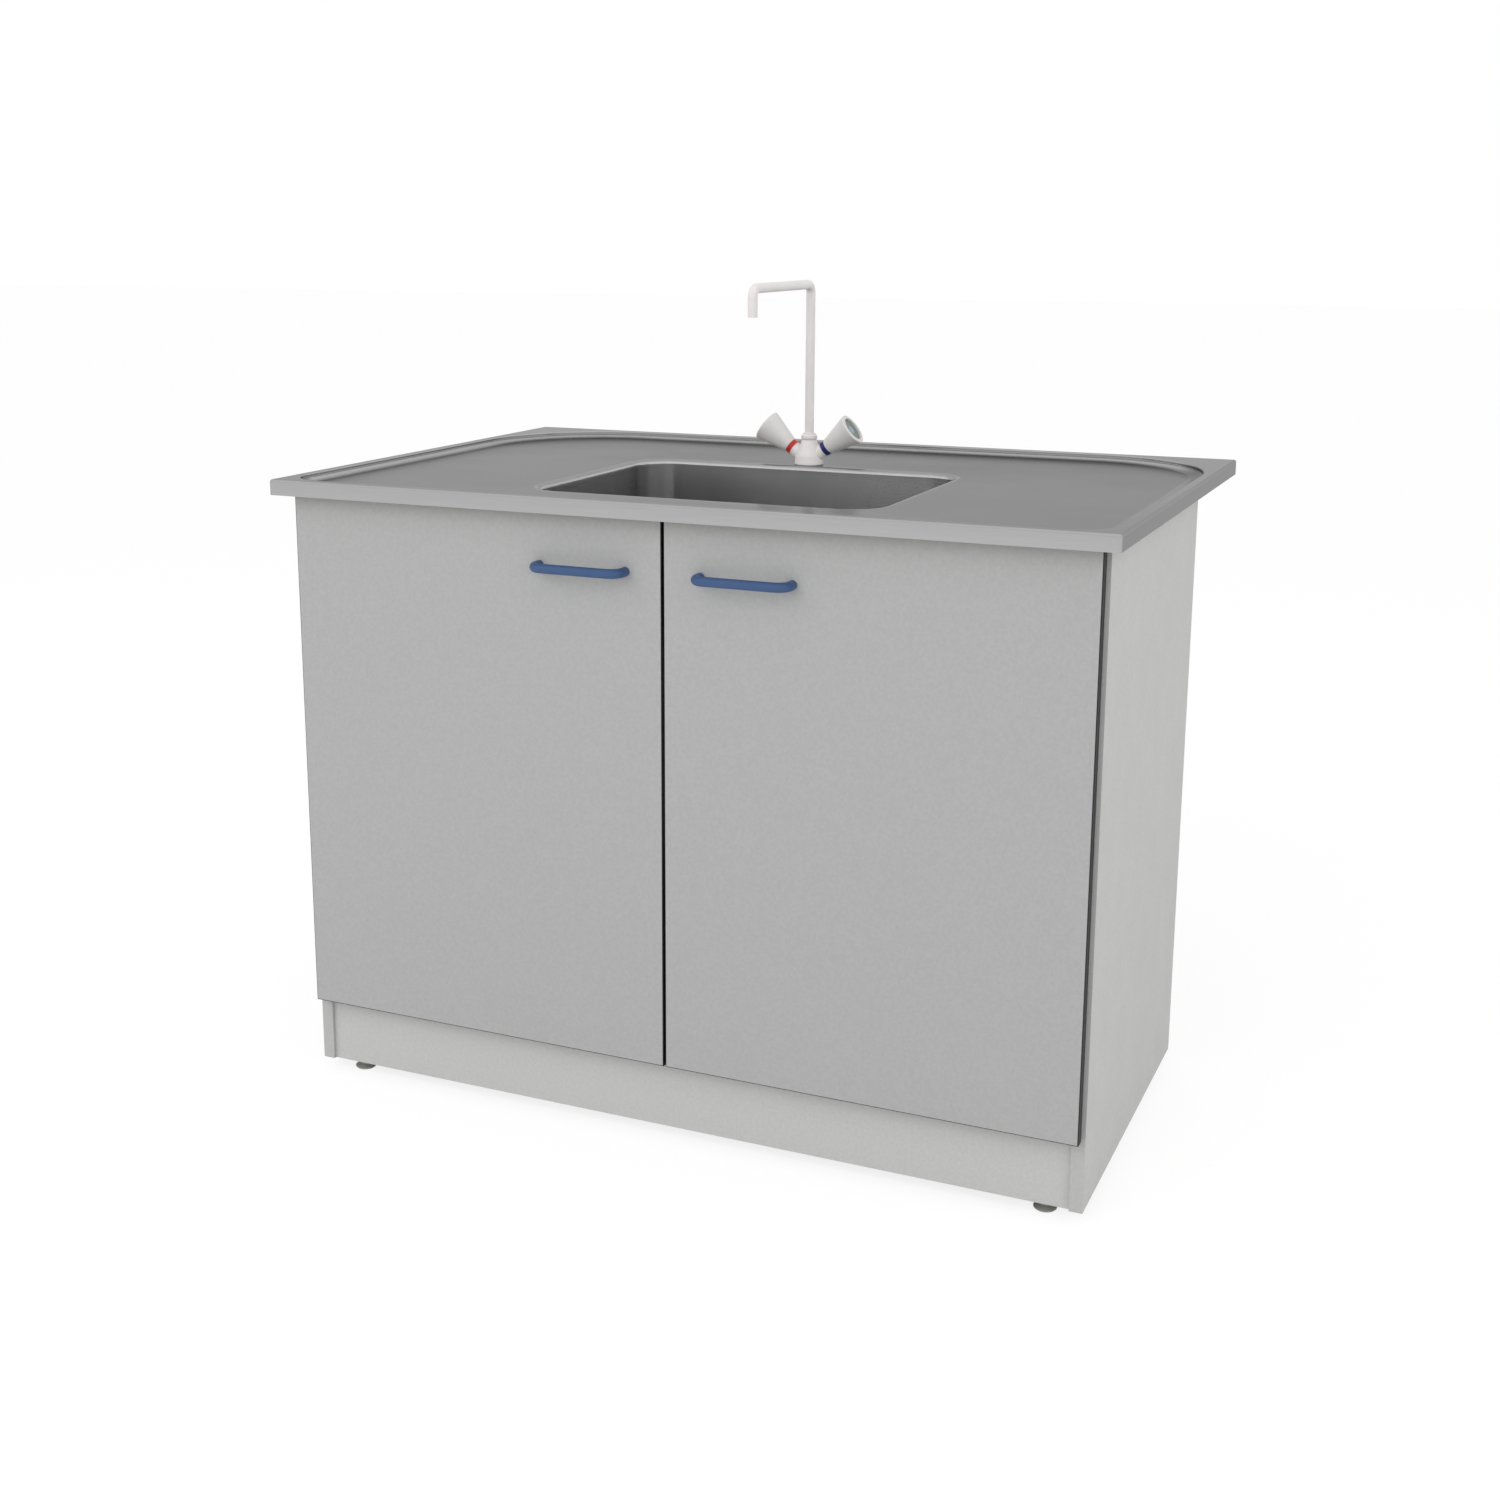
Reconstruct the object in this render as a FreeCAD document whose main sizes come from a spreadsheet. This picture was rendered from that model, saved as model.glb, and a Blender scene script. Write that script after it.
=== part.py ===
import FreeCAD, Part
import math
import os

import Sketcher

# Laboratory sink unit: a two-door cabinet under a pressed steel worktop with a welded bowl,
# a two-handle swivel tap, and the waste and supply fittings below the bowl.
# Millimetres, +Z up, front towards -Y, origin on the floor below the middle of the unit.

DOC = FreeCAD.newDocument("LabSinkUnit")
SHEET = DOC.addObject("Spreadsheet::Sheet", "Sizes")
NODES = []
SIDES = (("left", -1), ("right", 1))

# ---------------------------------------------------------------- driving dimensions

DRIVING = (
    # worktop
    ("worktop_length", 1200, "overall length"),
    ("worktop_depth", 800, "overall depth"),
    ("worktop_height", 900, "floor to the rim"),
    ("lip_height", 22, "height of the turned-down lip"),
    ("sheet_thickness", 1, "stainless sheet of the worktop and bowl"),
    ("lip_corner_radius", 5, "vertical corners of the lip"),
    ("lip_edge_radius", 2.5, "rounding between lip and rim"),
    ("rim_width", 13, "flat rim around the recess"),
    ("step_width", 30, "width of the S-shaped step down to the deck"),
    ("step_rounding", 52, "bend radius at both ends of the step"),
    ("recess_corner_radius", 78, "plan radius of the recess at the rim"),
    ("recess_depth", 9, "deck below the rim"),
    ("core_clearance", 1, "board core to lip, all round"),
    # bowl
    ("bowl_length", 508, "inside, left to right"),
    ("bowl_width", 394, "inside, front to back"),
    ("bowl_depth", 200, "deck to bowl floor"),
    ("bowl_corner_radius", 50, "inside plan corners"),
    ("bowl_floor_radius", 28, "wall to floor"),
    ("bowl_rim_radius", 6.5, "deck to wall"),
    ("bowl_land", 2, "flat land outside the rim radius, welded to the deck"),
    ("bowl_setback", 319, "worktop front edge to bowl middle"),
    ("bowl_cutout_gap", 1.5, "rim radius to core cut-out"),
    ("drain_seat_radius", 38, "pressed seat for the strainer"),
    ("drain_seat_depth", 3, "depth of that seat"),
    ("drain_hole_radius", 27, "hole through the bowl floor"),
    # cabinet
    ("side_overhang", 20, "worktop past each side panel"),
    ("panel_thickness", 18, "side and bottom panels and rails"),
    ("foot_gap", 17, "floor to side panel"),
    ("plinth_height", 100, "plinth board"),
    ("plinth_thickness", 16, "plinth board"),
    ("plinth_recess", 5, "plinth behind the panel fronts"),
    ("rail_width", 72, "flat rails under the worktop"),
    ("rail_notch_gap", 3, "tap washer to the notch of the rear rail"),
    ("worktop_screw_inset", 140, "side panel to a worktop screw"),
    ("worktop_screw_grip", 9, "worktop screw in the board core"),
    ("brace_height", 100, "upright board at the lower back"),
    # doors
    ("door_setback", 25.5, "worktop front edge to door face"),
    ("door_thickness", 16, "door board"),
    ("door_gap", 2.8, "door back to cabinet front"),
    ("door_reveal", 5, "door edge inside the cabinet side"),
    ("door_middle_gap", 3, "between the two doors"),
    ("door_top_gap", 3, "door top below the lip"),
    ("edging_thickness", 1.3, "dark edging strip around the doors"),
    ("edging_radius", 1.2, "rounding of that strip"),
    ("bumper_radius", 4, "soft door bumpers"),
    ("bumper_thickness", 2.5, "soft door bumpers"),
    # bow handles
    ("bow_radius", 6.5, "bar radius"),
    ("bow_spacing", 128, "screw spacing"),
    ("bow_standoff", 25.5, "door face to bar middle"),
    ("bow_bend_radius", 15, "bend in the bar middle line"),
    ("bow_inset", 54, "first screw from the middle of the unit"),
    ("bow_drop", 70.5, "bar below the door top"),
    ("bow_screw_radius", 2, "M4 screw"),
    ("bow_screw_depth", 14, "screw length in the bar"),
    ("screw_head_radius", 4, "pan heads"),
    ("screw_head_height", 2, "pan heads"),
    # concealed hinges
    ("cup_radius", 17.5, "bore in the door"),
    ("cup_depth", 13, "bore in the door"),
    ("cup_tab", 3, "door edge to bore"),
    ("cup_flange_thickness", 1, "plate on the door back"),
    ("cup_swing_gap", 0.3, "arm to the cup around it"),
    ("cup_relief_width", 1, "extra room for the arm at the outer side of the cup's mouth"),
    ("pin_inset", 8, "pin from the door edge"),
    ("pin_depth", 9.5, "pin behind the door back"),
    ("pin_radius", 1.5, "hinge pin"),
    ("pin_length", 19, "hinge pin"),
    ("knuckle_radius", 2.6, "arm eye around the pin"),
    ("arm_width", 12, "hinge arm, along the pin"),
    ("arm_crank", 14, "pin to the arm's straight leg"),
    ("arm_thickness", 3, "hinge arm"),
    ("hinge_drop", 100, "hinge from the door's top and bottom"),
    ("plate_thickness", 2, "mounting plate"),
    ("plate_setback", 37, "panel front to first plate screw"),
    ("plate_screw_pitch", 32, "between plate screws"),
    ("plate_height", 44, "mounting plate"),
    # carcass fittings
    ("cam_radius", 7.5, "cam bore"),
    ("cam_bore_depth", 13, "cam bore"),
    ("cam_distance", 34, "board end to cam"),
    ("cam_bolt_radius", 3.5, "bolt bore"),
    ("cam_bolt_entry", 11, "bolt in the side panel"),
    ("screw_radius", 2.5, "panel screws"),
    ("screw_depth", 11, "panel screws in the board"),
    # levelling feet
    ("foot_inset", 37, "foot from the panel's inner face"),
    ("foot_setback", 29, "foot from the panel's front and back edges"),
    ("foot_radius", 15.5, "glide disc"),
    ("foot_bevel_height", 1.5, "edge of the glide disc"),
    ("foot_stem_radius", 4, "M8 stem"),
    ("foot_stem_top", 78, "stem end above the floor"),
    ("bracket_height", 45, "underside of the bracket above the floor"),
    ("bracket_thickness", 3, "foot bracket"),
    ("bracket_width", 44, "foot bracket, front to back"),
    ("bracket_margin", 7, "foot to the bracket's outer edge"),
    ("bracket_upright", 42, "foot bracket on the panel"),
    ("bracket_screw_rise", 29, "underside of the bracket to its screws"),
    ("nut_height", 6.5, "M8 nut"),
    ("nut_radius", 7.5, "M8 nut across corners"),
    # tap
    ("tap_offset", 548, "worktop front edge to tap middle"),
    ("tap_to_back", 52, "tap middle to the cabinet back; the worktop reaches on over the services"),
    ("tap_gasket_thickness", 1, "under the tap"),
    ("tap_base_radius", 21.7, "foot of the tap body"),
    ("tap_neck_radius", 10.8, "top of the tap body"),
    ("tap_body_height", 36.5, "gasket to collar"),
    ("tap_foot_height", 3, "upright edge of the tap body's foot"),
    ("tap_foot_radius", 1.5, "rounding of that edge"),
    ("tap_waist_height", 13, "foot to the waist of the tap body"),
    ("tap_waist_width", 4.5, "waist outside the mean of foot and neck"),
    ("tap_waist_radius", 14, "curve at the waist"),
    ("collar_radius", 12.4, "bead of the spout collar"),
    ("collar_height", 10, "spout collar"),
    ("collar_undercut_width", 2, "bead past the collar's lower end"),
    ("collar_bead_radius", 2.6, "rounding of the bead"),
    ("spout_radius", 7, "spout tube"),
    ("spout_wall", 1.5, "spout tube"),
    ("spout_height", 270, "body foot to the arm's middle line"),
    ("spout_reach", 225, "tap middle to outlet middle"),
    ("spout_drop", 40, "arm's middle line to outlet end"),
    ("spout_bend_radius", 13, "bends of the spout"),
    ("spout_socket", 18, "body foot to the bottom of the spout bore"),
    ("branch_tilt", 36, "degrees, handle axes above level"),
    ("branch_height", 4.8, "axes' crossing above the body foot"),
    ("branch_radius", 10.6, "arms of the tap body"),
    ("branch_length", 30.6, "crossing to the index ring"),
    ("bonnet_radius", 9, "valve bonnet"),
    ("bonnet_start", 18, "crossing to the bonnet's inner end"),
    ("index_ring_radius", 11.4, "coloured ring"),
    ("index_ring_width", 6.5, "coloured ring"),
    ("spindle_radius", 4, "valve spindle"),
    ("handle_gap", 0.5, "between ring and turning handle"),
    ("handle_small_radius", 11.4, "cone at the ring"),
    ("handle_large_radius", 24.8, "cone at the end"),
    ("handle_length", 49.8, "cone"),
    ("handle_root_radius", 1, "rounding at the cone's small end"),
    ("handle_rim_radius", 1.5, "rounding at the cone's large end"),
    ("cap_radius", 18.3, "index cap"),
    ("cap_thickness", 2.5, "index cap"),
    ("cap_sink", 3, "cap below the end of the cone"),
    ("shank_radius", 14, "threaded shank"),
    ("shank_bore", 10.8, "inside the shank"),
    ("shank_top", 8, "shank end above the body foot"),
    ("shank_bottom", 42, "shank end below the deck"),
    ("deck_hole_radius", 17.5, "tap hole"),
    ("washer_radius", 24, "under the core"),
    ("washer_thickness", 3, "under the core"),
    ("shank_nut_radius", 20.8, "across corners"),
    ("shank_nut_height", 9, "hexagon nut"),
    ("tail_radius", 5, "copper supply tail"),
    ("tail_bore", 4, "copper supply tail"),
    ("tail_spacing", 5.3, "tail middle from the tap middle, in the shank"),
    ("tail_spread", 60, "tail middle from the tap middle, at its end"),
    ("tail_fall", 250, "shank top to the tail's level run"),
    ("tail_reach", 150, "tap middle to the tail's open end behind the cabinet"),
    ("tail_bend_radius", 30, "bends of the tails"),
    # waste
    ("strainer_radius", 35, "flange in the drain seat"),
    ("strainer_thickness", 2, "flange in the drain seat"),
    ("strainer_collar_height", 12, "collar below the flange"),
    ("strainer_collar_clearance", 1, "collar inside the drain hole"),
    ("strainer_screw_radius", 2, "clamping screw"),
    ("grid_hole_radius", 3.2, "holes of the strainer"),
    ("grid_inner_radius", 10, "inner ring of holes"),
    ("grid_outer_radius", 18.7, "outer ring of holes"),
    ("seal_thickness", 1.5, "seals above and below the bowl floor"),
    ("waste_flange_radius", 36, "body below the bowl"),
    ("waste_chamber_height", 22, "wide part of the waste body"),
    ("waste_tail_length", 34, "narrow part of the waste body"),
    ("waste_wall", 3, "plastic walls of the waste and trap"),
    ("waste_bar_width", 6, "bar that takes the clamping screw"),
    ("pipe_radius", 20, "waste pipe, outside"),
    ("pipe_wall", 2, "waste pipe"),
    ("dip_radius", 16, "dip tube"),
    ("trap_radius", 33, "bottle trap"),
    ("trap_housing_height", 62, "bottle trap housing"),
    ("trap_collar_height", 16, "collar under the inlet nut"),
    ("trap_cup_height", 90, "bottle trap cup below the housing"),
    ("trap_thread_height", 18, "cup inside the housing"),
    ("trap_flange_thickness", 2, "top edge of the dip tube, held by the inlet nut"),
    ("trap_shoulder_radius", 4, "rounding at the housing's top"),
    ("trap_grip_height", 6, "half of the cup's thicker grip band"),
    ("trap_foot_radius", 8, "rounding at the cup's lower edge, outside"),
    ("trap_floor_radius", 5, "rounding at the cup's floor, inside"),
    ("spigot_length", 62, "trap middle to spigot end"),
    ("pipe_end", 390, "trap middle to the pipe's open end"),
    ("pipe_stop_height", 2, "bevelled ring on the pipe that bears on the trap's outlet nut"),
    ("pipe_stop_width", 6, "that ring, along the pipe"),
    ("pipe_bevel_width", 1, "lead-in at the pipe's open end"),
    ("nut_wall", 5, "trap nuts"),
    ("trap_nut_height", 30, "trap nuts"),
    # clearances
    ("running", 0.05, "radial, shafts that turn"),
    ("seat", 0.1, "radial, pieces pushed or screwed together"),
)


class Size:
    """A number together with the spreadsheet expression that gives it."""

    def __init__(self, text, number):
        self.text = text
        self.number = number

    def joined(self, sign, other, number):
        return Size("(%s %s %s)" % (self.text, sign, other.text), number)

    def __add__(self, other):
        other = as_size(other)
        return self.joined("+", other, self.number + other.number)

    def __sub__(self, other):
        other = as_size(other)
        return self.joined("-", other, self.number - other.number)

    def __mul__(self, other):
        other = as_size(other)
        return self.joined("*", other, self.number * other.number)

    def __truediv__(self, other):
        other = as_size(other)
        return self.joined("/", other, self.number / other.number)

    def __radd__(self, other):
        return as_size(other) + self

    def __rsub__(self, other):
        return as_size(other) - self

    def __rmul__(self, other):
        return as_size(other) * self

    def __neg__(self):
        return as_size(0) - self


def as_size(value):
    """Plain numbers become sizes that are not tied to the sheet."""
    return value if isinstance(value, Size) else Size("%g" % value, float(value))


def cosine(angle):
    return Size("cos(%s)" % angle.text, math.cos(math.radians(angle.number)))


def sine(angle):
    return Size("sin(%s)" % angle.text, math.sin(math.radians(angle.number)))


class DrivingSizes:
    """The driving dimensions by name."""


def fill_sheet():
    """Writes name, value and note of every driving dimension and returns them by name."""
    sizes = DrivingSizes()
    for row, (name, number, note) in enumerate(DRIVING, start=1):
        SHEET.set("A%d" % row, name)
        SHEET.set("B%d" % row, str(number))
        SHEET.set("C%d" % row, note)
        SHEET.setAlias("B%d" % row, name)
        setattr(sizes, name, Size("Sizes.%s" % name, float(number)))
    DOC.recompute()
    return sizes


S = fill_sheet()

# ---------------------------------------------------------------- derived places

# The bow handles stand out past the worktop, so the middle of the unit lies in front of
# the middle of the worktop by half of that.
BOW_OVERHANG = S.bow_standoff + S.bow_radius - S.door_setback
FRONT = (BOW_OVERHANG - S.worktop_depth) / 2
BACK = FRONT + S.worktop_depth
WORKTOP_MIDDLE = (FRONT + BACK) / 2

LIP_BOTTOM = S.worktop_height - S.lip_height
DECK = S.worktop_height - S.recess_depth
CORE_TOP = DECK - S.sheet_thickness

OUTER_X = S.worktop_length / 2 - S.side_overhang
INNER_X = OUTER_X - S.panel_thickness
TAP_Y = FRONT + S.tap_offset
DOOR_FRONT = FRONT + S.door_setback
DOOR_BACK = DOOR_FRONT + S.door_thickness
CABINET_FRONT = DOOR_BACK + S.door_gap
CABINET_BACK = TAP_Y + S.tap_to_back
FLOOR_LEVEL = S.foot_gap + S.plinth_height
CARCASS_TOP = LIP_BOTTOM
RAIL_BOTTOM = CARCASS_TOP - S.panel_thickness

DOOR_OUTER_X = OUTER_X - S.door_reveal
DOOR_INNER_X = S.door_middle_gap / 2
DOOR_BOTTOM = FLOOR_LEVEL
DOOR_TOP = LIP_BOTTOM - S.door_top_gap
BOW_HEIGHT = DOOR_TOP - S.bow_drop

CUP_X = DOOR_OUTER_X - S.cup_tab - S.cup_radius
PIN_X = DOOR_OUTER_X - S.pin_inset
PIN_Y = DOOR_BACK - S.pin_depth
HINGE_HEIGHTS = (DOOR_BOTTOM + S.hinge_drop, DOOR_TOP - S.hinge_drop)

FOOT_X = INNER_X - S.foot_inset
FOOT_YS = (CABINET_FRONT + S.foot_setback, CABINET_BACK - S.foot_setback)

BOWL_Y = FRONT + S.bowl_setback
BOWL_FLOOR = DECK - S.bowl_depth
SEAT_LEVEL = BOWL_FLOOR - S.drain_seat_depth

TAP_FOOT = DECK + S.tap_gasket_thickness
BRANCH_CROSSING = TAP_FOOT + S.branch_height
HANDLE_START = S.branch_length + S.index_ring_width + S.handle_gap

# ---------------------------------------------------------------- building blocks


def bind(item, prop, value):
    item.setExpression(prop, as_size(value).text)


def place(item, x, y, z, axis=(0, 0, 1), angle=0.0):
    """Puts an object at x, y, z, turned about an axis, and ties the place to the sheet."""
    spot = [as_size(value) for value in (x, y, z)]
    angle = as_size(angle)
    base = FreeCAD.Vector(*[value.number for value in spot])
    item.Placement = FreeCAD.Placement(base, FreeCAD.Rotation(FreeCAD.Vector(*axis), angle.number))
    for letter, value in zip("xyz", spot):
        bind(item, "Placement.Base.%s" % letter, value)
    if "Sizes" in angle.text:
        bind(item, "Placement.Rotation.Angle", angle)
    return item


def node(item, label):
    """Marks an object as one sub-part, under the name of its file."""
    item.Label = label
    NODES.append(item)
    return item


def block(span_x, span_y, span_z):
    """A box between two places on each axis."""
    item = DOC.addObject("Part::Box", "Block")
    lows = []
    for prop, span in (("Length", span_x), ("Width", span_y), ("Height", span_z)):
        low, high = sorted((as_size(value) for value in span), key=lambda value: value.number)
        bind(item, prop, high - low)
        lows.append(low)
    return place(item, *lows)


TURNS = {
    "Z": ((0, 0, 1), 0),
    "-Z": ((1, 0, 0), 180),
    "X": ((0, 1, 0), 90),
    "-X": ((0, 1, 0), -90),
    "Y": ((1, 0, 0), -90),
    "-Y": ((1, 0, 0), 90),
}


def rod(radius, length, x, y, z, way="Z"):
    """A cylinder that starts at x, y, z and runs along one of the axes."""
    item = DOC.addObject("Part::Cylinder", "Rod")
    bind(item, "Radius", radius)
    bind(item, "Height", length)
    return place(item, x, y, z, *TURNS[way])


def joined(*items):
    item = DOC.addObject("Part::MultiFuse", "Joined")
    item.Shapes = list(items)
    return item


def without(base, *tools):
    item = DOC.addObject("Part::Cut", "Cut")
    item.Base = base
    item.Tool = tools[0] if len(tools) == 1 else joined(*tools)
    return item


def ring(outer, inner, height, x, y, z, way="Z"):
    return without(rod(outer, height, x, y, z, way), rod(inner, height, x, y, z, way))


def group(items):
    """Separate solids that share a node."""
    item = DOC.addObject("Part::Compound", "Group")
    item.Links = list(items)
    return item


def hexagon(corner_radius, bore, height, x, y, z):
    prism = DOC.addObject("Part::Prism", "Hexagon")
    prism.Polygon = 6
    bind(prism, "Circumradius", corner_radius)
    bind(prism, "Height", height)
    return without(place(prism, x, y, z), rod(bore, height, x, y, z))


def screw(radius, depth, x, y, z, way, out):
    """A pan-head screw whose head rests at x, y, z; out is the way the head points."""
    return joined(rod(radius, depth, x, y, z, way),
                  rod(S.screw_head_radius, S.screw_head_height, x, y, z, out))


# ---------------------------------------------------------------- sketches and bodies


def new_body(name):
    return DOC.addObject("PartDesign::Body", name)


def sketch_on(body, role, offset=0):
    """An empty sketch on one of the body's own planes, moved along its normal."""
    sketch = body.newObject("Sketcher::SketchObject", "Sketch")
    plane = [item for item in body.Origin.OriginFeatures if item.Role == role][0]
    sketch.AttachmentSupport = [(plane, "")]
    sketch.MapMode = "FlatFace"
    offset = as_size(offset)
    sketch.AttachmentOffset = FreeCAD.Placement(
        FreeCAD.Vector(0, 0, offset.number), FreeCAD.Rotation())
    if "Sizes" in offset.text:
        bind(sketch, "AttachmentOffset.Base.z", offset)
    return sketch


def dimension(sketch, kind, value, *where):
    value = as_size(value)
    index = sketch.addConstraint(Sketcher.Constraint(kind, *where, value.number))
    if "Sizes" in value.text:
        bind(sketch, "Constraints[%d]" % index, value)


def pin_point(sketch, element, point, x, y):
    dimension(sketch, "DistanceX", x, -1, 1, element, point)
    dimension(sketch, "DistanceY", y, -1, 1, element, point)


def circle(sketch, x, y, radius):
    centre = FreeCAD.Vector(as_size(x).number, as_size(y).number, 0)
    element = sketch.addGeometry(
        Part.Circle(centre, FreeCAD.Vector(0, 0, 1), as_size(radius).number), False)
    pin_point(sketch, element, 3, x, y)
    dimension(sketch, "Radius", radius, element)


class Corner:
    """One corner of an outline, with the ends of its rounding if it has one."""

    def __init__(self, x, y, radius=None):
        self.x = as_size(x)
        self.y = as_size(y)
        self.radius = radius
        self.point = FreeCAD.Vector(self.x.number, self.y.number, 0)
        self.start = self.point
        self.end = self.point

    def round_off(self, before, after):
        into = (self.point - before.point).normalize()
        out = (after.point - self.point).normalize()
        turn = into.getAngle(out)
        reach = self.radius.number * math.tan(turn / 2)
        self.start = self.point - into * reach
        self.end = self.point + out * reach
        bisector = (out - into).normalize()
        self.centre = self.point + bisector * (self.radius.number / math.cos(turn / 2))
        self.turns_left = into.cross(out).z > 0

    def arc(self):
        """The rounding, which a sketch wants to run anticlockwise."""
        ends = [self.start - self.centre, self.end - self.centre]
        if not self.turns_left:
            ends.reverse()
        angles = [math.atan2(end.y, end.x) for end in ends]
        if angles[1] < angles[0]:
            angles[1] += 2 * math.pi
        full = Part.Circle(self.centre, FreeCAD.Vector(0, 0, 1), self.radius.number)
        return Part.ArcOfCircle(full, *angles)


def outline(sketch, places, closed=True):
    """Straight lines through the places; a place with a third value is rounded."""
    corners = [Corner(*spot) for spot in places]
    count = len(corners)
    for index, corner in enumerate(corners):
        if corner.radius is not None:
            corner.round_off(corners[index - 1], corners[(index + 1) % count])
    lines = []
    for index in range(count if closed else count - 1):
        after = corners[(index + 1) % count]
        segment = Part.LineSegment(corners[index].end, after.start)
        lines.append(sketch.addGeometry(segment, False))
    if not closed:
        pin_point(sketch, lines[0], 1, corners[0].x, corners[0].y)
        pin_point(sketch, lines[-1], 2, corners[-1].x, corners[-1].y)
    inner = range(count) if closed else range(1, count - 1)
    for index in inner:
        corner = corners[index]
        line_in, line_out = lines[index - 1], lines[index % len(lines)]
        if corner.radius is None:
            sketch.addConstraint(Sketcher.Constraint("Coincident", line_in, 2, line_out, 1))
            pin_point(sketch, line_out, 1, corner.x, corner.y)
        else:
            round_corner(sketch, corner, line_in, line_out)


def round_corner(sketch, corner, line_in, line_out):
    """A tangent arc between two lines, whose sharp corner stays as a construction point."""
    arc = sketch.addGeometry(corner.arc(), False)
    first, last = (1, 2) if corner.turns_left else (2, 1)
    sharp = sketch.addGeometry(Part.Point(corner.point), True)
    sketch.addConstraint(Sketcher.Constraint("Tangent", line_in, 2, arc, first))
    sketch.addConstraint(Sketcher.Constraint("Tangent", line_out, 1, arc, last))
    sketch.addConstraint(Sketcher.Constraint("PointOnObject", sharp, 1, line_in))
    sketch.addConstraint(Sketcher.Constraint("PointOnObject", sharp, 1, line_out))
    pin_point(sketch, sharp, 1, corner.x, corner.y)
    dimension(sketch, "Radius", corner.radius, arc)


def rectangle(sketch, length, width, radius=None):
    """A rectangle around the sketch's origin, with rounded corners if a radius is given."""
    half_x, half_y = length / 2, width / 2
    rounding = () if radius is None else (radius,)
    outline(sketch, [(sign_x * half_x, sign_y * half_y) + rounding
                     for sign_x, sign_y in ((-1, -1), (1, -1), (1, 1), (-1, 1))])


def pad(body, sketch, length, backwards=False):
    feature = body.newObject("PartDesign::Pad", "Pad")
    feature.Profile = sketch
    feature.Reversed = backwards
    bind(feature, "Length", length)
    DOC.recompute()
    return feature


def pocket(body, sketch, depth):
    """A pocket that is turned round if it would run away from the material."""
    before = body.Shape.Volume
    feature = body.newObject("PartDesign::Pocket", "Pocket")
    feature.Profile = sketch
    bind(feature, "Length", depth)
    DOC.recompute()
    if feature.Shape.isNull() or feature.Shape.Volume > before - 1e-3:
        feature.Reversed = True
        DOC.recompute()
    return feature


def loft(body, kind, first, second):
    feature = body.newObject(kind, "Loft")
    feature.Profile = first
    feature.Sections = [second]
    feature.Ruled = True
    DOC.recompute()
    return feature


def fillet(body, radius, chosen):
    """Rounds the edges of the body's last feature for which chosen(edge) holds."""
    base = body.Tip
    names = ["Edge%d" % (index + 1) for index, edge in enumerate(base.Shape.Edges) if chosen(edge)]
    feature = body.newObject("PartDesign::Fillet", "Fillet")
    feature.Base = (base, names)
    bind(feature, "Radius", radius)
    DOC.recompute()
    return feature


def level_at(edge, height):
    box = edge.BoundBox
    return abs(box.ZMin - height) < 1e-3 and abs(box.ZMax - height) < 1e-3


def level_loop(height, length, width):
    """Chooses the edges at one height that lie inside a rectangle around the middle."""
    height = as_size(height).number
    half_x, half_y = length.number / 2 + 1e-3, width.number / 2 + 1e-3

    def chosen(edge):
        box = edge.BoundBox
        return (level_at(edge, height)
                and max(abs(box.XMin), abs(box.XMax)) < half_x
                and max(abs(box.YMin), abs(box.YMax)) < half_y)

    return chosen


def revolved(name, profile):
    """A body turned about its own Z axis from radius and height places."""
    body = new_body(name)
    sketch = sketch_on(body, "XZ_Plane")
    outline(sketch, profile)
    feature = body.newObject("PartDesign::Revolution", "Revolution")
    feature.Profile = sketch
    feature.ReferenceAxis = (sketch, ["V_Axis"])
    feature.Angle = 360
    DOC.recompute()
    return body


def swept(name, path_role, profile_role, path, radius, bore=None):
    """A bar or tube that starts at the body's origin and follows a path with bends."""
    body = new_body(name)
    spine = sketch_on(body, path_role)
    outline(spine, path, closed=False)
    section = sketch_on(body, profile_role)
    circle(section, 0, 0, radius)
    if bore is not None:
        circle(section, 0, 0, bore)
    feature = body.newObject("PartDesign::AdditivePipe", "Pipe")
    feature.Profile = section
    feature.Spine = (spine, [])
    DOC.recompute()
    return body


# ---------------------------------------------------------------- worktop and bowl


def bowl_edge(sketch, edge):
    """The bowl's outline grown by an edge, in a sketch centred on the worktop."""
    half_x, half_y = S.bowl_length / 2 + edge, S.bowl_width / 2 + edge
    shift = BOWL_Y - WORKTOP_MIDDLE
    corner = S.bowl_corner_radius + edge
    outline(sketch, [(-half_x, shift - half_y, corner), (half_x, shift - half_y, corner),
                     (half_x, shift + half_y, corner), (-half_x, shift + half_y, corner)])


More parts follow.
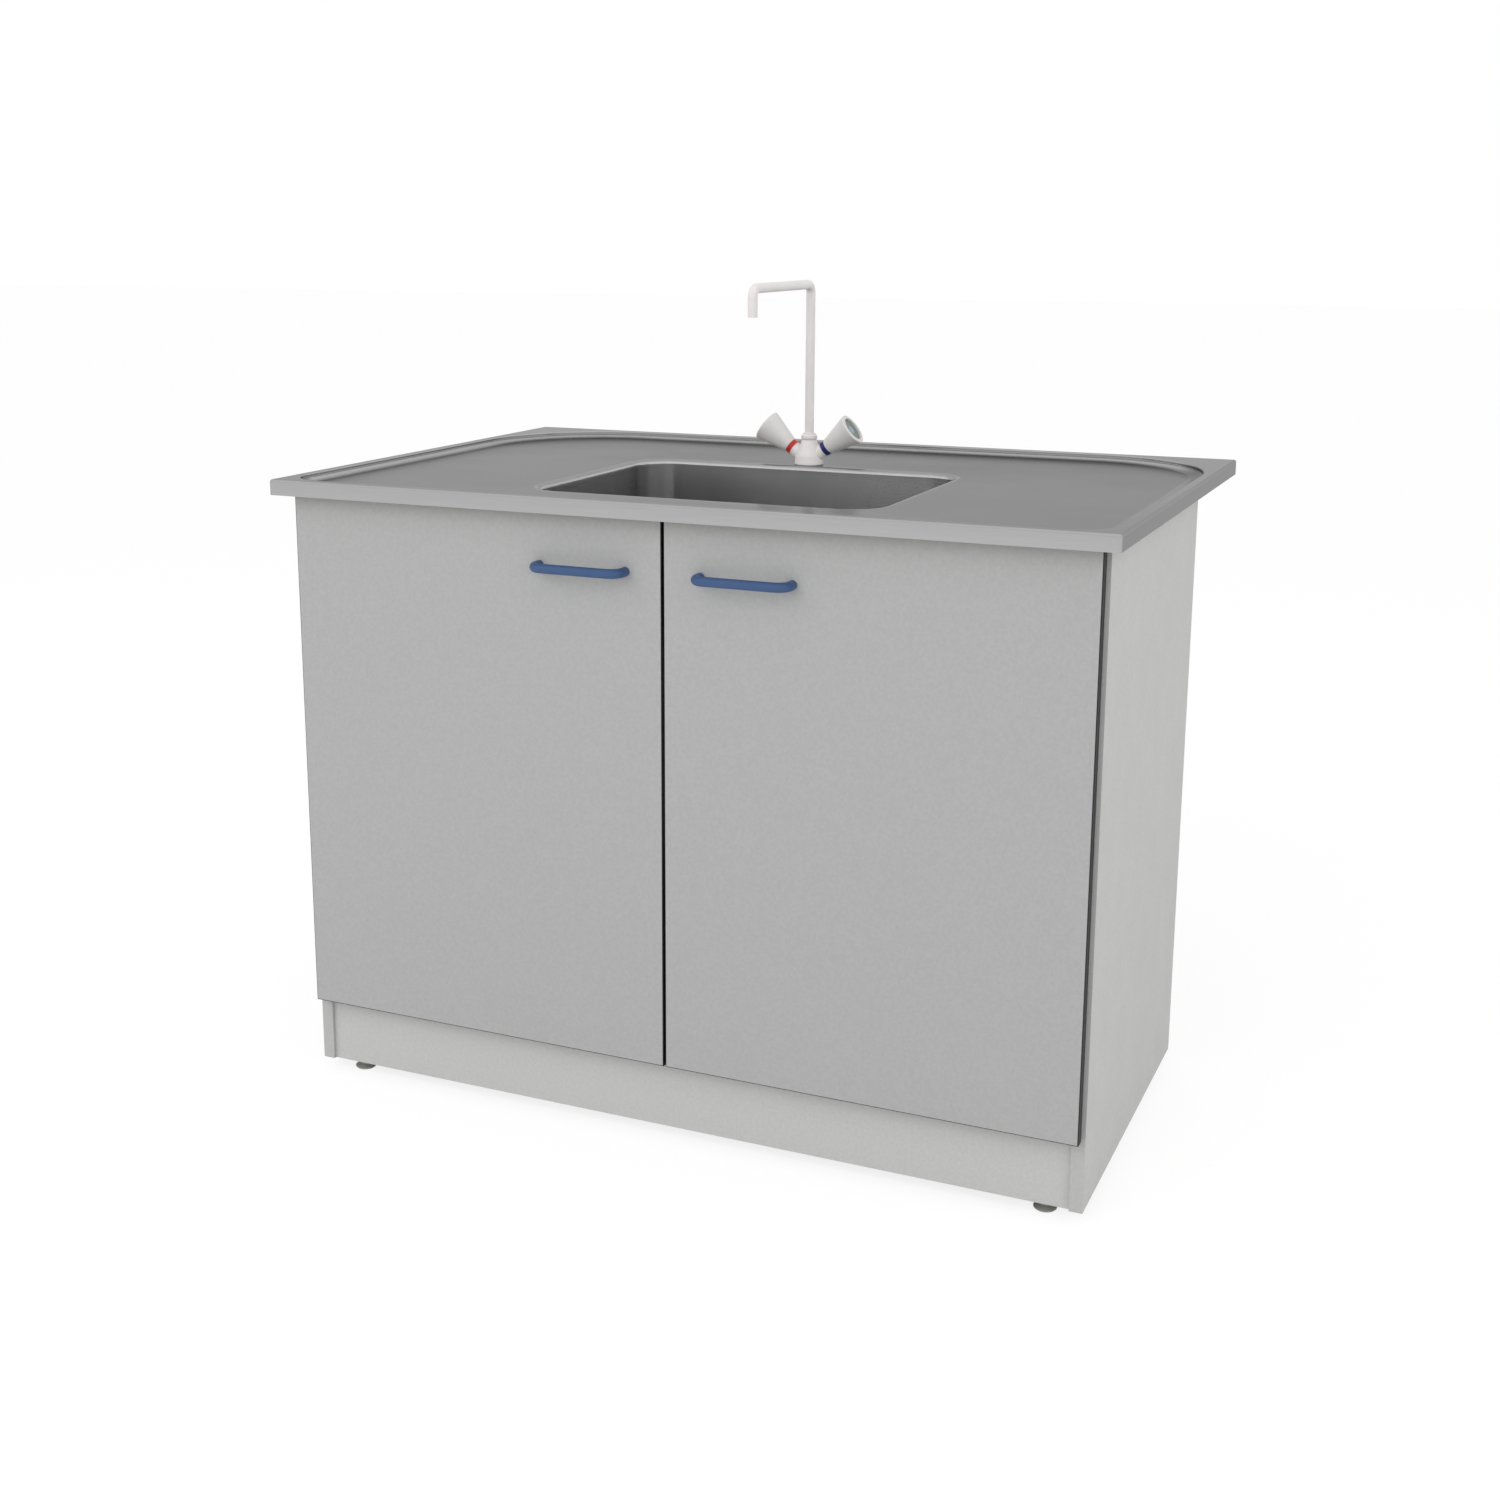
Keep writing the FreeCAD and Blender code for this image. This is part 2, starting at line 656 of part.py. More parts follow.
def make_worktop_sheet():
    """The pressed tray: lip, flat rim, S-shaped step and deck with two openings."""
    body = new_body("WorktopSheet")
    length, depth, skin = S.worktop_length, S.worktop_depth, S.sheet_thickness

    shell = sketch_on(body, "XY_Plane", -S.lip_height)
    rectangle(shell, length, depth, S.lip_corner_radius)
    pad(body, shell, S.lip_height)
    fillet(body, S.lip_edge_radius, lambda edge: level_at(edge, 0))

    inside = sketch_on(body, "XY_Plane", -S.lip_height)
    rectangle(inside, length - 2 * skin, depth - 2 * skin, S.lip_corner_radius - skin)
    pocket(body, inside, S.lip_height - skin)
    fillet(body, S.lip_edge_radius - skin, lambda edge: level_at(edge, -skin.number))

    drop = 2 * S.step_width
    top = (length - 2 * S.rim_width, depth - 2 * S.rim_width, S.recess_corner_radius)
    bottom = (top[0] - drop, top[1] - drop, S.recess_corner_radius - S.step_width)
    for kind, level in (("PartDesign::AdditiveLoft", -skin), ("PartDesign::SubtractiveLoft", as_size(0))):
        upper = sketch_on(body, "XY_Plane", level)
        rectangle(upper, *top)
        lower = sketch_on(body, "XY_Plane", level - S.recess_depth)
        rectangle(lower, *bottom)
        loft(body, kind, upper, lower)
    outer_bend = S.step_rounding + skin
    fillet(body, outer_bend, level_loop(0, *top[:2]))
    fillet(body, S.step_rounding, level_loop(-S.recess_depth, *top[:2]))
    fillet(body, S.step_rounding, level_loop(-skin, *top[:2]))
    fillet(body, outer_bend, level_loop(-S.recess_depth - skin, *top[:2]))

    opening = sketch_on(body, "XY_Plane")
    bowl_edge(opening, S.bowl_rim_radius + S.bowl_land)
    circle(opening, 0, TAP_Y - WORKTOP_MIDDLE, S.deck_hole_radius)
    pocket(body, opening, S.recess_depth + 2 * skin)
    node(place(body, 0, WORKTOP_MIDDLE, S.worktop_height), "worktop_sheet")


def make_worktop_core():
    """The moisture-proof board under the deck, held inside the lip."""
    body = new_body("WorktopCore")
    edge = S.sheet_thickness + S.core_clearance
    board = sketch_on(body, "XY_Plane", LIP_BOTTOM)
    rectangle(board, S.worktop_length - 2 * edge, S.worktop_depth - 2 * edge, S.lip_corner_radius - edge)
    bowl_edge(board, S.bowl_rim_radius + S.bowl_cutout_gap)
    circle(board, 0, TAP_Y - WORKTOP_MIDDLE, S.deck_hole_radius)
    pad(body, board, CORE_TOP - LIP_BOTTOM)
    screws = sketch_on(body, "XY_Plane", LIP_BOTTOM)
    for x, y in WORKTOP_SCREW_PLACES:
        circle(screws, x, y - WORKTOP_MIDDLE, S.screw_radius)
    pocket(body, screws, S.worktop_screw_grip)
    node(place(body, 0, WORKTOP_MIDDLE, 0), "worktop_core")


def bowl_form(offset):
    """The bowl as a solid, grown by an offset: a block with a plate flared out of its top."""
    body = new_body("BowlForm")
    rim, skin = S.bowl_rim_radius, S.sheet_thickness
    length, width = S.bowl_length + 2 * offset, S.bowl_width + 2 * offset
    block_top = -offset

    walls = sketch_on(body, "XY_Plane", block_top)
    rectangle(walls, length, width, S.bowl_corner_radius + offset)
    pad(body, walls, S.bowl_depth, backwards=True)
    bottom = (block_top - S.bowl_depth).number
    fillet(body, S.bowl_floor_radius + offset, lambda edge: level_at(edge, bottom))

    plate = sketch_on(body, "XY_Plane", block_top)
    spread = 2 * (rim + S.bowl_land)
    rectangle(plate, S.bowl_length + spread, S.bowl_width + spread, S.bowl_corner_radius + spread / 2)
    pad(body, plate, skin)
    fillet(body, rim - offset, level_loop(block_top, length, width))
    return place(body, 0, BOWL_Y, DECK)


def make_sink_bowl():
    """The pressed bowl, with its rim flared to the deck and a seat for the strainer."""
    skin = S.sheet_thickness
    under_seat = SEAT_LEVEL - skin
    outside = joined(bowl_form(skin),
                     rod(S.drain_seat_radius + skin, S.drain_seat_depth + skin, 0, BOWL_Y, under_seat))
    seat = rod(S.drain_seat_radius, S.drain_seat_depth, 0, BOWL_Y, SEAT_LEVEL)
    hole = rod(S.drain_hole_radius, S.drain_seat_depth + 2 * skin, 0, BOWL_Y, under_seat)
    inside = bowl_form(as_size(0))
    node(without(outside, inside, seat, hole), "sink_bowl")


# ---------------------------------------------------------------- cabinet

# Bores that the fittings need in each board, filled in as the fittings are made.
BORES = {name: [] for name in ("left", "right", "bottom", "plinth", "front_rail", "rear_rail",
                               "rear_brace")}

RAIL_YS = ((CABINET_FRONT, CABINET_FRONT + S.rail_width),
           (CABINET_BACK - S.rail_width, CABINET_BACK))
WORKTOP_SCREW_PLACES = [(side * (INNER_X - S.worktop_screw_inset), (low + high) / 2)
                        for side_name, side in SIDES for low, high in RAIL_YS]


def cam_fitting(board, side_name, side, bolt_y, bolt_z, way, face_y, face_z):
    """A cam and its bolt, which draw a board's end against a side panel.

    The cam is sunk into the board's face at face_y, face_z, along the way given.
    """
    cam_x = side * (INNER_X - S.cam_distance)
    into_board = "-X" if side > 0 else "X"
    panel_end = side * (INNER_X + S.cam_bolt_entry)
    board_length = S.cam_distance - S.cam_radius
    bolt_length = S.cam_bolt_entry + board_length
    BORES[side_name].append(
        rod(S.cam_bolt_radius, S.cam_bolt_entry, panel_end, bolt_y, bolt_z, into_board))
    BORES[board].append(
        rod(S.cam_bolt_radius, board_length + S.cam_radius, side * INNER_X, bolt_y, bolt_z, into_board))
    BORES[board].append(rod(S.cam_radius, S.cam_bore_depth, cam_x, face_y, face_z, way))
    cam = rod(S.cam_radius - S.seat, S.cam_bore_depth - S.seat, cam_x, face_y, face_z, way)
    bolt = rod(S.cam_bolt_radius - S.seat, bolt_length - S.seat, panel_end, bolt_y, bolt_z, into_board)
    return cam, bolt


def make_cam_fittings():
    """Two fittings at each end of the wide boards and one at each end of the plinth."""
    middle = S.panel_thickness / 2
    third = (CABINET_BACK - CABINET_FRONT) / 3
    fittings = []
    for side_name, side in SIDES:
        for y in (CABINET_FRONT + third / 2, CABINET_BACK - third / 2):
            fittings.append(cam_fitting("bottom", side_name, side, y, FLOOR_LEVEL + middle,
                                        "Z", y, FLOOR_LEVEL))
        for board, (low, high) in zip(("front_rail", "rear_rail"), RAIL_YS):
            y = (low + high) / 2
            fittings.append(cam_fitting(board, side_name, side, y, RAIL_BOTTOM + middle,
                                        "Z", y, RAIL_BOTTOM))
        z = S.foot_gap + S.plinth_height / 2
        plinth_back = CABINET_FRONT + S.plinth_recess + S.plinth_thickness
        fittings.append(cam_fitting("plinth", side_name, side, plinth_back - S.plinth_thickness / 2,
                                    z, "-Y", plinth_back, z))
        z = FLOOR_LEVEL + S.panel_thickness + S.brace_height / 2
        fittings.append(cam_fitting("rear_brace", side_name, side, CABINET_BACK - middle, z,
                                    "Y", CABINET_BACK - S.panel_thickness, z))
    node(group([cam for cam, bolt in fittings]), "cam_housings")
    node(group([bolt for cam, bolt in fittings]), "cam_bolts")


def make_worktop_screws():
    """Screws up through the flat rails into the core."""
    screws = []
    for index, (x, y) in enumerate(WORKTOP_SCREW_PLACES):
        rail = ("front_rail", "rear_rail")[index % len(RAIL_YS)]
        grip = S.panel_thickness + S.worktop_screw_grip
        BORES[rail].append(rod(S.screw_radius, S.panel_thickness, x, y, RAIL_BOTTOM))
        screws.append(screw(S.screw_radius - S.seat, grip - S.seat, x, y, RAIL_BOTTOM, "Z", "-Z"))
    node(group(screws), "worktop_screws")


def panel_screw(side_name, side, x, y, z):
    """A screw whose head rests at x on a fitting and whose thread is in the side panel."""
    outward, inward = ("X", "-X") if side > 0 else ("-X", "X")
    depth = S.screw_depth + (side * INNER_X - x) * side
    BORES[side_name].append(rod(S.screw_radius, S.screw_depth, side * INNER_X, y, z, outward))
    return screw(S.screw_radius - S.seat, depth - S.seat, x, y, z, outward, inward)


def make_boards():
    """Side panels, bottom, plinth, lower back brace and two flat rails.

    The rear rail is notched around the washer and nut of the tap.
    """
    span_x = (-INNER_X, INNER_X)
    span_y = (CABINET_FRONT, CABINET_BACK)
    for side_name, side in SIDES:
        panel = block((side * INNER_X, side * OUTER_X), span_y, (S.foot_gap, CARCASS_TOP))
        node(without(panel, *BORES[side_name]), "side_panel_%s" % side_name)
    bottom_top = FLOOR_LEVEL + S.panel_thickness
    bottom = block(span_x, span_y, (FLOOR_LEVEL, bottom_top))
    node(without(bottom, *BORES["bottom"]), "bottom_panel")
    plinth_front = CABINET_FRONT + S.plinth_recess
    plinth = block(span_x, (plinth_front, plinth_front + S.plinth_thickness), (S.foot_gap, FLOOR_LEVEL))
    node(without(plinth, *BORES["plinth"]), "plinth")
    notch_radius = S.washer_radius + S.rail_notch_gap
    notch = joined(rod(notch_radius, S.panel_thickness, 0, TAP_Y, RAIL_BOTTOM),
                   block((-notch_radius, notch_radius), (RAIL_YS[1][0], TAP_Y), (RAIL_BOTTOM, CARCASS_TOP)))
    BORES["rear_rail"].append(notch)
    for name, span in zip(("front_rail", "rear_rail"), RAIL_YS):
        rail = block(span_x, span, (RAIL_BOTTOM, CARCASS_TOP))
        node(without(rail, *BORES[name]), name)
    brace = block(span_x, (CABINET_BACK - S.panel_thickness, CABINET_BACK),
                  (bottom_top, bottom_top + S.brace_height))
    node(without(brace, *BORES["rear_brace"]), "rear_brace")


# ---------------------------------------------------------------- levelling feet


def make_foot(x, y):
    """Glide disc, domed hub and threaded stem in one turned piece."""
    disc, stem = S.foot_radius, S.foot_stem_radius
    hub, bevel = stem * 2, S.foot_bevel_height
    body = revolved("LevellingFoot", [
        (0, 0), (disc - bevel, 0), (disc, bevel), (disc, 2 * bevel), (hub, 4 * bevel),
        (hub, 6 * bevel), (stem, 6 * bevel), (stem, S.foot_stem_top), (0, S.foot_stem_top)])
    return place(body, x, y, 0)


def make_foot_bracket(side, y, inward):
    """An angle that is screwed to the side panel and reaches inward from the foot."""
    wall = side * INNER_X
    reach = wall - side * (S.foot_inset + S.foot_radius)
    near = y - inward * S.bracket_margin
    span_y = (near, near + inward * S.bracket_width)
    level = S.bracket_height
    shelf = block((reach, wall), span_y, (level, level + S.bracket_thickness))
    upright = block((wall - side * S.bracket_thickness, wall), span_y,
                    (level, level + S.bracket_upright))
    stem_hole = rod(S.foot_stem_radius + S.seat, S.bracket_thickness, side * FOOT_X, y, level)
    outward = "X" if side > 0 else "-X"
    holes = [rod(S.screw_radius, S.bracket_thickness, wall - side * S.bracket_thickness,
                 screw_y, screw_z, outward) for screw_y, screw_z in bracket_screw_places(y, inward)]
    return without(joined(shelf, upright), stem_hole, *holes)


def bracket_screw_places(y, inward):
    """Two screws side by side, above the shelf of the bracket."""
    near = y - inward * S.bracket_margin
    screw_z = S.bracket_height + S.bracket_screw_rise
    return [(near + inward * S.bracket_width * share, screw_z) for share in (0.25, 0.75)]


def make_feet():
    """Four feet, each with its bracket, a nut above and a lock nut below; returns the screws."""
    feet, brackets, nuts, screws = [], [], [], []
    for side_name, side in SIDES:
        for y, inward in zip(FOOT_YS, (1, -1)):
            feet.append(make_foot(side * FOOT_X, y))
            brackets.append(make_foot_bracket(side, y, inward))
            for level in (S.bracket_height - S.nut_height, S.bracket_height + S.bracket_thickness):
                nuts.append(hexagon(S.nut_radius, S.foot_stem_radius + S.seat, S.nut_height,
                                    side * FOOT_X, y, level))
            for screw_y, screw_z in bracket_screw_places(y, inward):
                screws.append(panel_screw(side_name, side, side * (INNER_X - S.bracket_thickness),
                                          screw_y, screw_z))
    node(group(feet), "levelling_feet")
    node(group(brackets), "foot_brackets")
    node(group(nuts), "foot_nuts")
    return screws


# ---------------------------------------------------------------- doors, handles and hinges


def bow_screw_places(side):
    return [side * (S.bow_inset + step) for step in (0, S.bow_spacing)]


def make_door(side_name, side):
    """The board inside its edging strip, with bores for two hinge cups and two screws."""
    skin = S.edging_thickness
    span_x = (side * (DOOR_INNER_X + skin), side * (DOOR_OUTER_X - skin))
    board = block(span_x, (DOOR_FRONT, DOOR_BACK), (DOOR_BOTTOM + skin, DOOR_TOP - skin))
    cups = [rod(S.cup_radius, S.cup_depth, side * CUP_X, DOOR_BACK, z, "-Y") for z in HINGE_HEIGHTS]
    holes = [rod(S.bow_screw_radius + S.seat, S.door_thickness, x, DOOR_FRONT, BOW_HEIGHT, "Y")
             for x in bow_screw_places(side)]
    node(without(board, *cups, *holes), "door_%s" % side_name)


def make_edging(side_name, side):
    """The dark strip around a door's four edges, rounded at its outer corners."""
    body = new_body("Edging")
    length, height, skin = DOOR_OUTER_X - DOOR_INNER_X, DOOR_TOP - DOOR_BOTTOM, S.edging_thickness
    sketch = sketch_on(body, "XZ_Plane")
    rectangle(sketch, length, height)
    rectangle(sketch, length - 2 * skin, height - 2 * skin)
    pad(body, sketch, S.door_thickness)
    half_x, half_z = length.number / 2, height.number / 2

    def outer(edge):
        box = edge.BoundBox
        across = abs(abs(box.XMin) - half_x) < 1e-3 and abs(box.XMax - box.XMin) < 1e-3
        along = abs(abs(box.ZMin) - half_z) < 1e-3 and abs(box.ZMax - box.ZMin) < 1e-3
        return across != along

    fillet(body, S.edging_radius, outer)
    middle_x = side * (DOOR_INNER_X + DOOR_OUTER_X) / 2
    node(place(body, middle_x, DOOR_BACK, (DOOR_BOTTOM + DOOR_TOP) / 2), "door_edging_%s" % side_name)


def make_bow_handle(side_name, side):
    """A bent round bar with a tapped hole in the end of each leg."""
    reach, bend = -S.bow_standoff, S.bow_bend_radius
    body = swept("BowHandle", "XY_Plane", "XZ_Plane",
                 [(0, 0), (0, reach, bend), (S.bow_spacing, reach, bend), (S.bow_spacing, 0)],
                 S.bow_radius)
    taps = sketch_on(body, "XZ_Plane")
    for x in (0, S.bow_spacing):
        circle(taps, x, 0, S.bow_screw_radius + S.seat)
    pocket(body, taps, S.bow_screw_depth + S.seat)
    start = min(bow_screw_places(side), key=lambda place_x: place_x.number)
    node(place(body, start, DOOR_FRONT, BOW_HEIGHT), "bow_handle_%s" % side_name)


def make_bow_screws(side_name, side):
    """Screws from the door's back into the handle."""
    length = S.door_thickness + S.bow_screw_depth
    screws = [screw(S.bow_screw_radius, length, x, DOOR_BACK, BOW_HEIGHT, "-Y", "Y")
              for x in bow_screw_places(side)]
    node(group(screws), "bow_screws_%s" % side_name)


def make_hinge_cup(side, z):
    """The cup in the door, open towards the cabinet where the arm swings."""
    cup_x = side * CUP_X
    pin_x = side * PIN_X
    half_arm = S.arm_width / 2
    wall = S.cup_flange_thickness
    play = S.cup_swing_gap
    shell = rod(S.cup_radius - S.seat, S.cup_depth - S.seat, cup_x, DOOR_BACK, z, "-Y")
    flange_top = DOOR_BACK + S.cup_flange_thickness
    mouth = S.knuckle_radius + play + S.cup_relief_width
    near = pin_x + side * (mouth + wall)
    far = cup_x - side * (S.cup_radius + wall)
    flange = block((far, near), (DOOR_BACK, flange_top), (z - S.cup_radius, z + S.cup_radius))
    swing_far = pin_x - side * (S.arm_crank + S.arm_thickness / 2 + 2 * play)
    swing = block((swing_far, pin_x + side * mouth), (PIN_Y - S.knuckle_radius - play, flange_top),
                  (z - half_arm - play, z + half_arm + play))
    pin_bore = rod(S.pin_radius, S.pin_length, pin_x, PIN_Y, z - S.pin_length / 2)
    return without(joined(shell, flange), swing, pin_bore)


def make_hinge_arm(side, z):
    """The cranked arm: an eye on the pin, a leg inwards and a leg back to the plate.

    The crank lies in front of the pin, so that the open cup's mouth passes behind it.
    """
    pin_x = side * PIN_X
    half_arm, half_bar = S.arm_width / 2, S.arm_thickness / 2
    span_z = (z - half_arm, z + half_arm)
    leg_x = pin_x - side * S.arm_crank
    plate_face = side * (INNER_X - S.plate_thickness)
    body_front = CABINET_FRONT + S.plate_setback / 4
    body_back = CABINET_FRONT + S.plate_setback + S.plate_screw_pitch
    eye = rod(S.knuckle_radius, S.arm_width, pin_x, PIN_Y, z - half_arm)
    front = PIN_Y - S.knuckle_radius
    crank = block((leg_x - side * half_bar, pin_x), (front, front + S.arm_thickness), span_z)
    leg = block((leg_x - side * half_bar, leg_x + side * half_bar), (front, body_front), span_z)
    channel = block((leg_x - side * half_bar, plate_face), (body_front, body_back), span_z)
    bore = rod(S.pin_radius + S.running, S.arm_width, pin_x, PIN_Y, z - half_arm)
    return without(joined(eye, crank, leg, channel), bore)


def plate_screw_places(z):
    """Screws above and below the arm, at the front row of the plate."""
    return [(CABINET_FRONT + S.plate_setback, z + sign * (S.plate_height - 2 * S.screw_head_radius) / 2)
            for sign in (-1, 1)]


def make_hinge_plate(side, z):
    """The mounting plate on the side panel's inner face."""
    face = side * (INNER_X - S.plate_thickness)
    start = CABINET_FRONT + S.plate_setback / 2
    end = CABINET_FRONT + S.plate_setback + S.plate_screw_pitch
    plate = block((face, side * INNER_X), (start, end), (z - S.plate_height / 2, z + S.plate_height / 2))
    outward = "X" if side > 0 else "-X"
    holes = [rod(S.screw_radius, S.plate_thickness, face, y, hole_z, outward)
             for y, hole_z in plate_screw_places(z)]
    return without(plate, *holes)


def make_hinges():
    """Two concealed hinges on each door; returns the screws of their plates."""
    arms, plates, screws = [], [], []
    for side_name, side in SIDES:
        cups, pins = [], []
        for z in HINGE_HEIGHTS:
            cups.append(make_hinge_cup(side, z))
            pins.append(rod(S.pin_radius, S.pin_length, side * PIN_X, PIN_Y, z - S.pin_length / 2))
            arms.append(make_hinge_arm(side, z))
            plates.append(make_hinge_plate(side, z))
            for y, screw_z in plate_screw_places(z):
                plate_face = side * (INNER_X - S.plate_thickness)
                screws.append(panel_screw(side_name, side, plate_face, y, screw_z))
        node(group(cups), "hinge_cups_%s" % side_name)
        node(group(pins), "hinge_pins_%s" % side_name)
    node(group(arms), "hinge_arms")
    node(group(plates), "hinge_plates")
    return screws


def make_bumpers():
    """Soft stops on the front edges of the bottom panel and the front rail."""
    middle = S.panel_thickness / 2
    clear_of_edging = S.edging_thickness + 2 * S.bumper_radius
    x = DOOR_INNER_X + clear_of_edging
    levels = (FLOOR_LEVEL + middle, (RAIL_BOTTOM + DOOR_TOP) / 2)
    stops = [rod(S.bumper_radius, S.bumper_thickness, side * x, CABINET_FRONT, z, "-Y")
             for side_name, side in SIDES for z in levels]
    node(group(stops), "door_bumpers")


# ---------------------------------------------------------------- tap


def on_branch(side, distance):
    """The place at a distance along a handle's axis from where the two axes cross."""
    return (side * distance * cosine(S.branch_tilt), TAP_Y,
            BRANCH_CROSSING + distance * sine(S.branch_tilt))


def lean(item, side, distance):
    """Sets an object upright on a handle's axis."""
    return place(item, *on_branch(side, distance), axis=(0, side, 0), angle=90 - S.branch_tilt)


def leaning_rod(radius, side, start, end):
    item = DOC.addObject("Part::Cylinder", "LeaningRod")
    bind(item, "Radius", radius)
    bind(item, "Height", end - start)
    return lean(item, side, start)


def make_tap_body():
    """A bell-shaped foot with two rising branches, bored for the spout, valves and shank."""
    height, neck, foot = S.tap_body_height, S.tap_neck_radius, S.tap_base_radius
    waist = (foot + neck) / 2 + S.tap_waist_width
    bell = revolved("TapBell", [
        (0, 0), (foot, 0), (foot, S.tap_foot_height, S.tap_foot_radius),
        (waist, S.tap_waist_height, S.tap_waist_radius), (neck, height), (0, height)])
    bell = place(bell, 0, TAP_Y, TAP_FOOT)
    branches = [leaning_rod(S.branch_radius, side, as_size(0), S.branch_length)
                for side_name, side in SIDES]
    below = block((-2 * S.tap_base_radius, 2 * S.tap_base_radius),
                  (TAP_Y - 2 * S.tap_base_radius, TAP_Y + 2 * S.tap_base_radius),
                  (TAP_FOOT - 2 * S.branch_radius, TAP_FOOT))
    sockets = [leaning_rod(S.bonnet_radius, side, S.bonnet_start, S.branch_length)
               for side_name, side in SIDES]
    spout_bore = rod(S.spout_radius + S.running, height - S.spout_socket, 0, TAP_Y,
                     TAP_FOOT + S.spout_socket)
    shank_bore = rod(S.shank_radius + S.seat, S.shank_top, 0, TAP_Y, TAP_FOOT)
    node(without(joined(bell, *branches), below, spout_bore, shank_bore, *sockets), "tap_body")


def make_spout():
    """The collar, and a tube that rises, runs forward and turns down to the outlet."""
    bore = S.spout_radius + S.running
    bead, top = S.collar_radius, S.collar_height
    lip = (bead + S.spout_radius) / 2
    bead_low, bead_high, lip_low = top * 0.2, top * 0.72, top * 0.84
    collar = revolved("SpoutCollar", [
        (bore, 0), (bead - S.collar_undercut_width, 0), (bead, bead_low, S.collar_bead_radius),
        (bead, bead_high, S.collar_bead_radius), (lip, lip_low), (lip, top), (bore, top)])
    node(place(collar, 0, TAP_Y, TAP_FOOT + S.tap_body_height), "spout_collar")

    start = S.spout_socket + S.seat
    rise = S.spout_height - start
    bend = S.spout_bend_radius
    tube = swept("SpoutTube", "YZ_Plane", "XY_Plane",
                 [(0, 0), (0, rise, bend), (-S.spout_reach, rise, bend),
                  (-S.spout_reach, rise - S.spout_drop)],
                 S.spout_radius, S.spout_radius - S.spout_wall)
    node(place(tube, 0, TAP_Y, TAP_FOOT + start), "spout_tube")


def make_valve(name, side):
    """Index ring, spindle, turning cone and index cap on one branch; returns the bonnet."""
    bonnet_end = S.branch_length + S.index_ring_width
    spindle_end = bonnet_end + S.handle_length / 2
    socket = S.spindle_radius + S.seat
    bonnet = without(leaning_rod(S.bonnet_radius - S.seat, side, S.bonnet_start, bonnet_end),
                     leaning_rod(S.spindle_radius + S.running, side, S.bonnet_start, bonnet_end))
    band = without(leaning_rod(S.index_ring_radius, side, S.branch_length, bonnet_end),
                   leaning_rod(S.bonnet_radius, side, S.branch_length, bonnet_end))
    node(band, "index_ring_%s" % name)
    node(leaning_rod(S.spindle_radius, side, S.bonnet_start + S.seat, spindle_end),
         "valve_spindle_%s" % name)

    cap_floor = S.handle_length - S.cap_sink - S.cap_thickness
    socket_end = spindle_end - HANDLE_START + S.seat
    recess = S.cap_radius + S.seat
    cone = revolved("HandleCone", [
        (socket, 0), (S.handle_small_radius, 0, S.handle_root_radius),
        (S.handle_large_radius, S.handle_length, S.handle_rim_radius),
        (recess, S.handle_length), (recess, cap_floor), (0, cap_floor), (0, socket_end),
        (socket, socket_end)])
    node(lean(cone, side, HANDLE_START), "tap_handle_%s" % name)
    cap_start = HANDLE_START + cap_floor
    node(leaning_rod(S.cap_radius, side, cap_start, cap_start + S.cap_thickness),
         "index_cap_%s" % name)
    return bonnet


def make_tap_fixing():
    """Gasket, hollow shank, washer and nut that clamp the tap to the deck and core."""
    node(ring(S.tap_base_radius, S.shank_radius + S.seat, S.tap_gasket_thickness, 0, TAP_Y, DECK),
         "tap_gasket")
    shank_end = DECK - S.shank_bottom
    node(ring(S.shank_radius, S.shank_bore, TAP_FOOT + S.shank_top - shank_end, 0, TAP_Y, shank_end),
         "tap_shank")
    washer_level = LIP_BOTTOM - S.washer_thickness
    node(ring(S.washer_radius, S.shank_radius + S.seat, S.washer_thickness, 0, TAP_Y, washer_level),
         "shank_washer")
    node(hexagon(S.shank_nut_radius, S.shank_radius + S.seat, S.shank_nut_height, 0, TAP_Y,
                 washer_level - S.shank_nut_height), "shank_nut")


def make_supply_tail(name, side):
    """A copper tail that leaves the shank, swings out, drops and turns out through the open back."""
    top = TAP_FOOT + S.shank_top - S.seat
    bend = S.tail_bend_radius
    level = S.shank_bottom + bend
    spread = side * (S.tail_spread - S.tail_spacing)
    swing_end = level + S.tail_spread
    turn_start = S.tail_fall - 2 * bend
    drop = swept("SupplyDrop", "XZ_Plane", "XY_Plane",
                 [(0, 0), (0, -level, bend), (spread, -swing_end, bend), (spread, -turn_start)],
                 S.tail_radius, S.tail_bore)
    turn = swept("SupplyTurn", "YZ_Plane", "XY_Plane",
                 [(0, 0), (0, -2 * bend, bend), (S.tail_reach, -2 * bend)],
                 S.tail_radius, S.tail_bore)
    node(joined(place(drop, side * S.tail_spacing, TAP_Y, top),
                place(turn, side * S.tail_spread, TAP_Y, top - turn_start)),
         "supply_tail_%s" % name)


# ---------------------------------------------------------------- waste and trap


